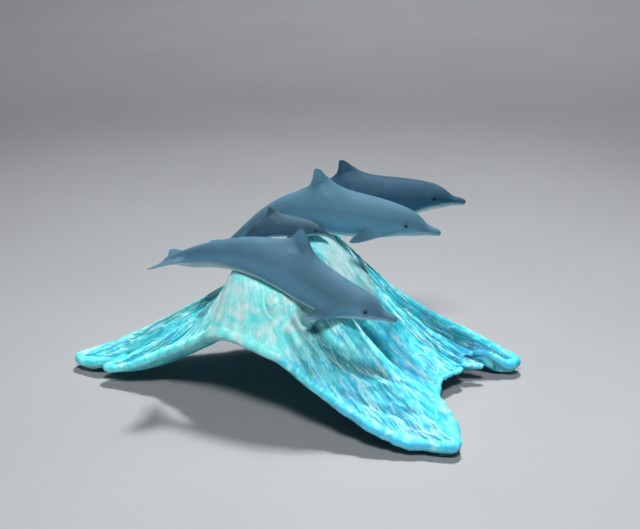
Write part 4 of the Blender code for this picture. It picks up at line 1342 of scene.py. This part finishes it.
def grid_mesh(points):
    """A closed mesh over rings of points, with both ends filled."""
    bm = bmesh.new()
    rings = [[bm.verts.new(point) for point in ring] for ring in points]
    count = len(rings[0])
    for ring, after in zip(rings[:-1], rings[1:]):
        for j in range(count):
            k = (j + 1) % count
            bm.faces.new((ring[j], after[j], after[k], ring[k]))
    for ring in (rings[0], rings[-1]):
        flat = [Vector((vert.co.x, vert.co.y, 0.0)) for vert in ring]
        for corners in tessellate_polygon([flat]):
            bm.faces.new([ring[i] for i in corners])
    mesh = mesh_from(bm, "wave")
    mesh.shade_smooth()
    return mesh


def new_tree(name, inputs):
    """A tree of geometry nodes that takes a mesh and these inputs, each with the kind of its socket,
    and gives a mesh back."""
    tree = bpy.data.node_groups.new(name, "GeometryNodeTree")
    for label, kind in {"Geometry": "Geometry", **inputs}.items():
        tree.interface.new_socket(label, in_out="INPUT", socket_type="NodeSocket" + kind)
    tree.interface.new_socket("Geometry", in_out="OUTPUT", socket_type="NodeSocketGeometry")
    return tree, add_node(tree, "NodeGroupInput").outputs


def end_tree(tree, geometry, material):
    """Makes what a tree gives real and sets its material."""
    real = add_node(tree, "GeometryNodeRealizeInstances", {0: geometry})
    inputs = {"Geometry": real.outputs[0], "Material": material}
    painted = add_node(tree, "GeometryNodeSetMaterial", inputs)
    add_node(tree, "NodeGroupOutput", {0: painted.outputs[0]})


def grain_tree():
    """Geometry nodes that raise the planks, the torn cells and the fibres of the wood along its grain."""
    sizes = dict.fromkeys(GRAIN_SIZES, "Float")
    tree, given = new_tree("Carved Grain", {**sizes, "Seed": "Float", "Wood": "Material"})
    grain, level, rough = (
        add_node(tree, "GeometryNodeInputNamedAttribute", {"Name": name}, data_type=kind).outputs[0]
        for name, kind in (("grain", "FLOAT_VECTOR"), ("level", "FLOAT"), ("rough", "FLOAT"))
    )
    seed = given["Seed"]
    layers = (("Cell", CELL_STRETCH, CELL_SHOULDER), ("Plank", PLANK_STRETCH, PLANK_SHOULDER))
    # What raises the wood, as values and the depths that they are multiplied by.
    parts = []
    for layer, stretch, shoulder in layers:
        edge, own = along_grain(tree, grain, level, given[layer + " Width"], stretch, seed, CELLS)
        # A cell is a plateau, higher or lower than its neighbours, that slopes off at its edge.
        centred = add_node(tree, "ShaderNodeMath", {0: own, 1: 0.5}, operation="SUBTRACT").outputs[0]
        parts.append((mask_of(tree, centred, (edge, 0.02, shoulder, 0.0, 2.0)), given[layer + " Depth"]))
        if layer == "Cell":
            parts.append((mask_of(tree, (edge, 0.0, LIP_REACH, 1.0, 0.0)), given["Lip Depth"]))
    (fibre,) = along_grain(tree, grain, level, given["Fibre Width"], FIBRE_STRETCH, seed, FIBRES)
    centred = add_node(tree, "ShaderNodeMath", {0: fibre, 1: 0.5}, operation="SUBTRACT").outputs[0]
    parts.append((centred, given["Fibre Depth"]))
    total = 0.0
    for value, depth in parts:
        inputs = {0: value, 1: depth, 2: total}
        total = add_node(tree, "ShaderNodeMath", inputs, operation="MULTIPLY_ADD").outputs[0]
    height = mask_of(tree, total, rough)
    normal = add_node(tree, "GeometryNodeInputNormal").outputs[0]
    offset = add_node(tree, "ShaderNodeVectorMath", {0: normal, "Scale": height}, operation="SCALE")
    inputs = {"Geometry": given["Geometry"], "Offset": offset.outputs[0]}
    carved = add_node(tree, "GeometryNodeSetPosition", inputs).outputs[0]
    end_tree(tree, carved, given["Wood"])
    return tree


# The sizes that the wood's nodes take, and the settings that give them.
GRAIN_SIZES = {
    "Cell Width": "cell_width",
    "Cell Depth": "cell_depth",
    "Lip Depth": "lip_depth",
    "Plank Width": "plank_width",
    "Plank Depth": "plank_depth",
    "Fibre Width": "fibre_width",
    "Fibre Depth": "fibre_depth",
}


def with_nodes(mesh, tree, values):
    """The mesh that a tree makes from a mesh, with the tree's inputs set by name."""
    holder = linked("holder", mesh)
    modifier = holder.modifiers.new(tree.name, "NODES")
    modifier.node_group = tree
    for item in tree.interface.items_tree:
        if item.in_out == "INPUT" and item.name in values:
            modifier[item.identifier] = values[item.name]
    return applied(holder)


def press_out(mesh, others, gap):
    """Moves the points that are inside other pieces out to their surface, with a glue gap."""
    points = points_of(mesh)
    for other in others:
        tree = BVHTree.FromPolygons([v.co for v in other.vertices], [p.vertices for p in other.polygons])
        corners = points_of(other)
        low, high = corners.min(axis=0) - gap, corners.max(axis=0) + gap
        for i in np.flatnonzero(((points > low) & (points < high)).all(axis=1)):
            place, normal, _, _ = tree.find_nearest(Vector(points[i]))
            if (Vector(points[i]) - place).dot(normal) < gap:
                points[i] = place + normal * gap
    move_points(mesh, points)


def paint_setting(name, description, code):
    """A colour that a user may change, given as an sRGB hex code."""
    return bpy.props.FloatVectorProperty(
        name=name, description=description, subtype="COLOR", size=4, default=from_hex(code)
    )


def length_setting(name, description, millimetres):
    """A length that a user may change."""
    default = millimetres * MM
    return bpy.props.FloatProperty(name=name, description=description, unit="LENGTH", default=default)


def power_setting(name, description, watts):
    """The power of a light, which a user may change."""
    return bpy.props.FloatProperty(name=name, description=description, unit="POWER", default=watts)


class WaveSettings(bpy.types.PropertyGroup):
    cell_width: bpy.props.FloatProperty(
        name="Cell Width", description="Width of a torn cell of the wood in millimetres", default=4.6
    )
    cell_depth: length_setting("Cell Depth", "How far a cell is above or below its neighbours", 0.9)
    lip_depth: length_setting("Lip Depth", "Height of the lips between the cells", 0.55)
    plank_width: bpy.props.FloatProperty(
        name="Plank Width", description="Width of a broad plank in millimetres", default=15.0
    )
    plank_depth: length_setting("Plank Depth", "How far a plank is above or below its neighbours", 1.8)
    fibre_width: bpy.props.FloatProperty(
        name="Fibre Width", description="Distance between fibres in millimetres", default=2.4
    )
    fibre_depth: length_setting("Fibre Depth", "Height of the fibres", 1.1)
    mint: paint_setting("Mint", "Paint of the crest and front face", "9cfdfa")
    aqua: paint_setting("Aqua", "Paint of the upper slopes", "68f6fa")
    cyan: paint_setting("Cyan", "Paint of the lower slopes", "42dcf8")
    blue: paint_setting("Blue", "Paint of the feet", "46bcf4")
    turquoise: paint_setting("Turquoise", "Glaze in the shaded streaks", "16abc0")
    # The groove colour is dark glaze, and also painted shade in the furrows and the cavity.
    groove: paint_setting("Groove", "Dark glaze in the grooves", "0a6c78")
    white: paint_setting("White", "Dry-brushed white on the ridges", "dcffff")


class DolphinSettings(bpy.types.PropertyGroup):
    mouth_width: length_setting("Mouth Width", "Half width of the mouth line", 0.32)
    mouth_depth: length_setting("Mouth Depth", "Depth of the mouth line", 0.34)
    front_back: paint_setting("Front Dolphin", "Paint of its back", "3d6074")
    middle_back: paint_setting("Middle Dolphin", "Paint of its back", "3c6376")
    rear_back: paint_setting("Rear Dolphin", "Paint of its back", "1b4055")
    calf_back: paint_setting("Calf", "Paint of its back", "324e5e")
    flank: bpy.props.FloatProperty(
        name="Flank", description="How much lighter the flanks are than the back", default=2.6
    )
    far_flank: bpy.props.FloatProperty(
        name="Far Flank", description="The same for the darker rear dolphin and the calf", default=1.85
    )
    belly: paint_setting("Belly", "Pale paint of the underside", "c6d6d8")


class BumperSettings(bpy.types.PropertyGroup):
    radius: length_setting("Radius", "Radius of a bumper pad", PAD_RADIUS / MM)
    dome: length_setting("Dome", "Height of the rounded edge", 1.3)


class StudioSettings(bpy.types.PropertyGroup):
    key_power: power_setting("Key Power", "Power of the high key light", 6.3)
    front_power: power_setting("Front Power", "Power of the softer light high in front", 9.0)
    background_power: power_setting("Background Power", "Power of the light on the paper far behind", 26.0)
    sky: bpy.props.FloatProperty(
        name="Room Light", description="Strength of the light that the room gives back", default=0.07
    )


class FIGURINE_OT_dolphins(bpy.types.Operator):
    """Makes the adult dolphins and the calf, with their mouths, blowholes and soft airbrushed bellies"""

    bl_idname = "figurine.dolphins"
    bl_label = "Dolphins"

    def execute(self, context):
        settings = context.scene.figurine_dolphins
        near, far = settings.flank, settings.far_flank
        paints = {
            "dolphin_front": (settings.front_back, near),
            "dolphin_middle": (settings.middle_back, near),
            "dolphin_rear": (settings.rear_back, far),
            "dolphin_calf": (settings.calf_back, far),
        }
        slots = {part["node"]: part["material_slot"] for part in frame["record"]["subparts"]}
        made = {}
        for name, dolphin in WHOLE_POD.items():
            spine = Spine(dolphin)
            mesh = smooth_body(dolphin, spine, CALF_LEVELS if dolphin is CALF else ADULT_LEVELS)
            station = carve_head(mesh, dolphin, spine, settings)
            self.paint(mesh, dolphin, spine, station)
            mesh.transform(place_of(name))
            if dolphin is CALF:
                press_out(mesh, [made[CALF["mother"]].data], GLUE_GAP)
            back, lighter = tuple(paints[name][0]), paints[name][1]
            side = tuple(c * lighter for c in back[:3]) + (1.0,)
            resin = airbrushed_resin(name + "_airbrushed_resin", back, side, tuple(settings.belly))
            mesh.materials.append(resin)
            made[name] = finished("cast_" + name, mesh, slots[name], name)
        return {"FINISHED"}

    def paint(self, mesh, dolphin, spine, station):
        """Stores where the pale belly, the dark strokes and the lighter flanks are."""
        points, length = points_of(mesh), spine.length
        pitch = spine.pitch(station)
        up = np.stack([-np.sin(pitch), 0 * pitch, np.cos(pitch)], axis=1)
        facing = (normals_of(mesh) * up).sum(axis=1)
        line = np.interp(station, *PALE_LINE)
        dark = np.zeros(len(points))
        for place, _ in eye_points(dolphin, spine):
            away = np.linalg.norm(points - np.array(place), axis=1) / length
            dark = np.maximum(dark, EYE_SHADE * np.exp(-((away / EYE_SHADE_REACH) ** 2)))
        eye_station, eye_height = dolphin["eye"]
        _, height = spine.stations_of(points)
        knot_station, knot_height = STROKE_KNOT
        stroke = np.interp(station, (knot_station, eye_station), (knot_height, eye_height)) * length
        band = np.exp(-(((height - stroke) / (STROKE_WIDTH * length)) ** 2))
        band = band * (station < eye_station) * (station > STROKE_START)
        dark = np.maximum(dark, STROKE_SHADE * band * smooth_step(station, STROKE_START, STROKE_FULL))
        values = {
            "pale": smooth_step(line + PALE_FADE - facing, 0.0, 2 * PALE_FADE),
            "dark": dark,
            "shade": smooth_step(FLANK_START - facing, 0.0, FLANK_FADE),
        }
        set_attributes(mesh, values)


class FIGURINE_OT_eyes(bpy.types.Operator):
    """Makes the eyes, as beads of black enamel"""

    bl_idname = "figurine.eyes"
    bl_label = "Eyes"

    def execute(self, context):
        spots, looks, sizes = [], [], []
        for name, dolphin in WHOLE_POD.items():
            spine, place = Spine(dolphin), place_of(name)
            for point, look in eye_points(dolphin, spine):
                spots.append(place @ point)
                looks.append(place.to_3x3() @ look)
                sizes.append(max(LEAST_EYE, dolphin["length"] / POD["dolphin_front"]["length"]))
        mesh = bpy.data.meshes.new("eye_spots")
        mesh.from_pydata(spots, [], [])
        set_attributes(mesh, {"look": looks, "size": sizes})
        sizes = {"Radius": EYE_RADIUS, "Flatness": EYE_FLATNESS, "Enamel": eye_enamel()}
        beads = with_nodes(mesh, self.bead_tree(), sizes)
        beads.shade_smooth()
        finished("enamel_eyes", beads, "front_dolphin")
        return {"FINISHED"}

    def bead_tree(self):
        """Geometry nodes that set a flattened bead at each point, turned the way that it looks."""
        tree, given = new_tree("Eye Beads", {"Radius": "Float", "Flatness": "Float", "Enamel": "Material"})
        look, size = (
            add_node(tree, "GeometryNodeInputNamedAttribute", {"Name": name}, data_type=kind).outputs[0]
            for name, kind in (("look", "FLOAT_VECTOR"), ("size", "FLOAT"))
        )
        turn = add_node(tree, "FunctionNodeAlignRotationToVector", {"Vector": look}, axis="Z").outputs[0]
        inputs = {"Segments": 28, "Rings": 14, "Radius": given["Radius"]}
        bead = add_node(tree, "GeometryNodeMeshUVSphere", inputs).outputs[0]
        flat = add_node(tree, "ShaderNodeCombineXYZ", {0: 1.0, 1: 1.0, 2: given["Flatness"]}).outputs[0]
        pressed = add_node(tree, "GeometryNodeTransform", {"Geometry": bead, "Scale": flat}).outputs[0]
        inputs = {"Points": given["Geometry"], "Instance": pressed, "Rotation": turn, "Scale": size}
        placed = add_node(tree, "GeometryNodeInstanceOnPoints", inputs).outputs[0]
        end_tree(tree, placed, given["Enamel"])
        return tree


class FIGURINE_OT_wave(bpy.types.Operator):
    """Carves the wave from root wood, with its grain, furrows and seats, and paints it"""

    bl_idname = "figurine.wave"
    bl_label = "Carved Wave"

    def execute(self, context):
        settings = context.scene.figurine_wave
        points, deep, rim_along = wave_grid()
        mesh = grid_mesh(points)
        # The dark glaze of the furrows and the cavity, which is partly painted shade.
        glaze = np.zeros(points.shape[:2])
        glaze[ON_TOP] = deep
        rim, below = rim_paint(points.shape[:2])
        face = zone(points, FACE_MIDDLE, FACE_REACH, *FACE_PAINT)
        # The saddle zone is partly painted light.
        saddle = zone(points, SADDLE_MIDDLE, SADDLE_REACH, *SADDLE_PAINT)
        # The band is partly painted shadow of the middle dolphin.
        from_band, _ = distance_to_line(points, np.array(TEAL_AND_SHADOW_BAND))
        values = {
            "grain": grain_of(points, rim_along),
            "level": level_of(points, rim_along),
            "deep": glaze,
            "tone": tone_of(points),
            "pale": np.maximum(face, saddle),
            "band": smooth_step(from_band, TEAL_AND_SHADOW_BAND_WIDTH, 0.5 * TEAL_AND_SHADOW_BAND_WIDTH) * (1 - below),
            "edge": rim,
            "under": below * UNDER_WASH,
            "rough": roughness_of(points),
        }
        set_attributes(mesh, values)
        sizes = {label: getattr(settings, key) for label, key in GRAIN_SIZES.items()}
        wood = painted_root_wood(settings)
        carved = with_nodes(mesh, grain_tree(), {**sizes, "Seed": VEIN_SEED, "Wood": wood})
        carved.transform(Matrix.Translation(SHIFT))
        press_out(carved, [bpy.data.objects["cast_" + name].data for name in POD], GLUE_GAP)
        carved.shade_smooth()
        finished("carved_wave", carved, "root_wood", "wave_base")
        return {"FINISHED"}


class FIGURINE_OT_bumpers(bpy.types.Operator):
    """Turns the clear bumper pads"""

    bl_idname = "figurine.bumpers"
    bl_label = "Bumper Pads"

    def execute(self, context):
        settings = context.scene.figurine_bumpers
        clear = clear_polyurethane()
        for name in PADS:
            mesh = self.turned(settings)
            mesh.transform(Matrix.Translation(Vector((*pad_centre(name), 0.0)) + SHIFT))
            mesh.materials.append(clear)
            finished("clear_" + name, mesh, "clear_bumper", name)
        return {"FINISHED"}

    def turned(self, settings):
        """A pad turned from its profile: a flat top that is stuck on, and a domed face below."""
        radius, dome = settings.radius, settings.dome
        rounding = PAD_ROUNDING * dome
        profile = [(0.0, 0.0), (radius - rounding, 0.0)]
        for angle in np.radians(range(PAD_TURN, 91, PAD_TURN)):
            profile.append((radius - rounding * (1 - math.sin(angle)), dome * (1 - math.cos(angle))))
        profile += [(radius, PAD_HEIGHT - PAD_BEVEL), (radius - PAD_BEVEL, PAD_HEIGHT), (0.0, PAD_HEIGHT)]
        bm = bmesh.new()
        line = [bm.verts.new((x, 0.0, z)) for x, z in profile]
        edges = [bm.edges.new(pair) for pair in zip(line[:-1], line[1:])]
        turn = {"cent": (0, 0, 0), "axis": (0, 0, 1), "angle": 2 * math.pi, "steps": PAD_STEPS}
        bmesh.ops.spin(bm, geom=line + edges, use_merge=True, **turn)
        bmesh.ops.remove_doubles(bm, verts=bm.verts, dist=0.001 * MM)
        mesh = mesh_from(bm, "bumper")
        mesh.shade_smooth()
        mesh.set_sharp_from_angle(angle=math.radians(PAD_SHARP))
        return mesh


class FIGURINE_OT_studio(bpy.types.Operator):
    """Sets up the paper sweep, the lights and the camera"""

    bl_idname = "figurine.studio"
    bl_label = "Studio"

    def execute(self, context):
        settings = context.scene.figurine_studio
        self.sweep()
        for name, power, *rest in LIGHTS:
            self.light(name, getattr(settings, power), *rest)
        world = bpy.data.worlds.new("studio_room")
        context.scene.world = world
        world.use_nodes = True
        room = world.node_tree.nodes["Background"]
        room.inputs["Color"].default_value = from_hex("dfe5e8")
        room.inputs["Strength"].default_value = settings.sky
        context.scene.view_settings.view_transform = "Standard"
        self.camera()
        return {"FINISHED"}

    def sweep(self):
        """Seamless paper that lies flat and curves up far behind."""
        profile = [(PAPER_FRONT, 0.0), (PAPER_TURN, 0.0)]
        for step in range(1, PAPER_STEPS + 1):
            angle = math.radians(90 * step / PAPER_STEPS)
            rise = PAPER_RADIUS * (1 - math.cos(angle))
            profile.append((PAPER_TURN + PAPER_RADIUS * math.sin(angle), rise))
        profile.append((PAPER_TURN + PAPER_RADIUS, PAPER_TOP))
        points = [(side * PAPER_WIDTH / 2, y, z) for side in (-1, 1) for y, z in profile]
        count = len(profile)
        faces = [(i, i + count, i + count + 1, i + 1) for i in range(count - 1)]
        mesh = bpy.data.meshes.new("paper_sweep")
        mesh.from_pydata(points, [], faces)
        mesh.shade_smooth()
        mesh.materials.append(backdrop_paper())
        linked("paper_sweep", mesh)

    def light(self, name, power, size, spread, place, aim):
        """A square softbox whose grid holds its light to a cone of so many degrees."""
        data = bpy.data.lights.new(name, "AREA")
        data.energy, data.size, data.spread = power, size, math.radians(spread)
        made = linked(name, data)
        made.location = place
        made.rotation_euler = (Vector(aim) - Vector(place)).to_track_quat("-Z", "Y").to_euler()

    def camera(self):
        """The camera, at the photograph's angle and distance."""
        data = bpy.data.cameras.new("camera")
        data.sensor_width = SENSOR_WIDTH
        data.lens = SENSOR_WIDTH * FOCAL_SHARE
        made = linked("camera", data)
        made.location = Vector(CAMERA_PLACE) + SHIFT
        made.rotation_euler = (math.radians(90 - CAMERA_DOWN), 0.0, 0.0)
        bpy.context.scene.camera = made


class FIGURINE_PT_panel(bpy.types.Panel):
    bl_label = "Dolphin Pod Figurine"
    bl_idname = "FIGURINE_PT_panel"
    bl_space_type = "VIEW_3D"
    bl_region_type = "UI"
    bl_category = "Figurine"

    def draw(self, context):
        for operator in OPERATORS:
            self.layout.operator(operator.bl_idname)


OPERATORS = (
    FIGURINE_OT_dolphins,
    FIGURINE_OT_eyes,
    FIGURINE_OT_wave,
    FIGURINE_OT_bumpers,
    FIGURINE_OT_studio,
)
SETTINGS = {
    "figurine_wave": WaveSettings,
    "figurine_dolphins": DolphinSettings,
    "figurine_bumpers": BumperSettings,
    "figurine_studio": StudioSettings,
}
CLASSES = (*SETTINGS.values(), *OPERATORS, FIGURINE_PT_panel)


def register():
    for cls in CLASSES:
        bpy.utils.register_class(cls)
    for name, cls in SETTINGS.items():
        setattr(bpy.types.Scene, name, bpy.props.PointerProperty(type=cls))


def unregister():
    for name in SETTINGS:
        delattr(bpy.types.Scene, name)
    for cls in reversed(CLASSES):
        bpy.utils.unregister_class(cls)


def main():
    register()
    bpy.ops.figurine.dolphins()
    bpy.ops.figurine.eyes()
    bpy.ops.figurine.wave()
    bpy.ops.figurine.bumpers()
    bpy.ops.figurine.studio()


if __name__ == "__main__":
    main()
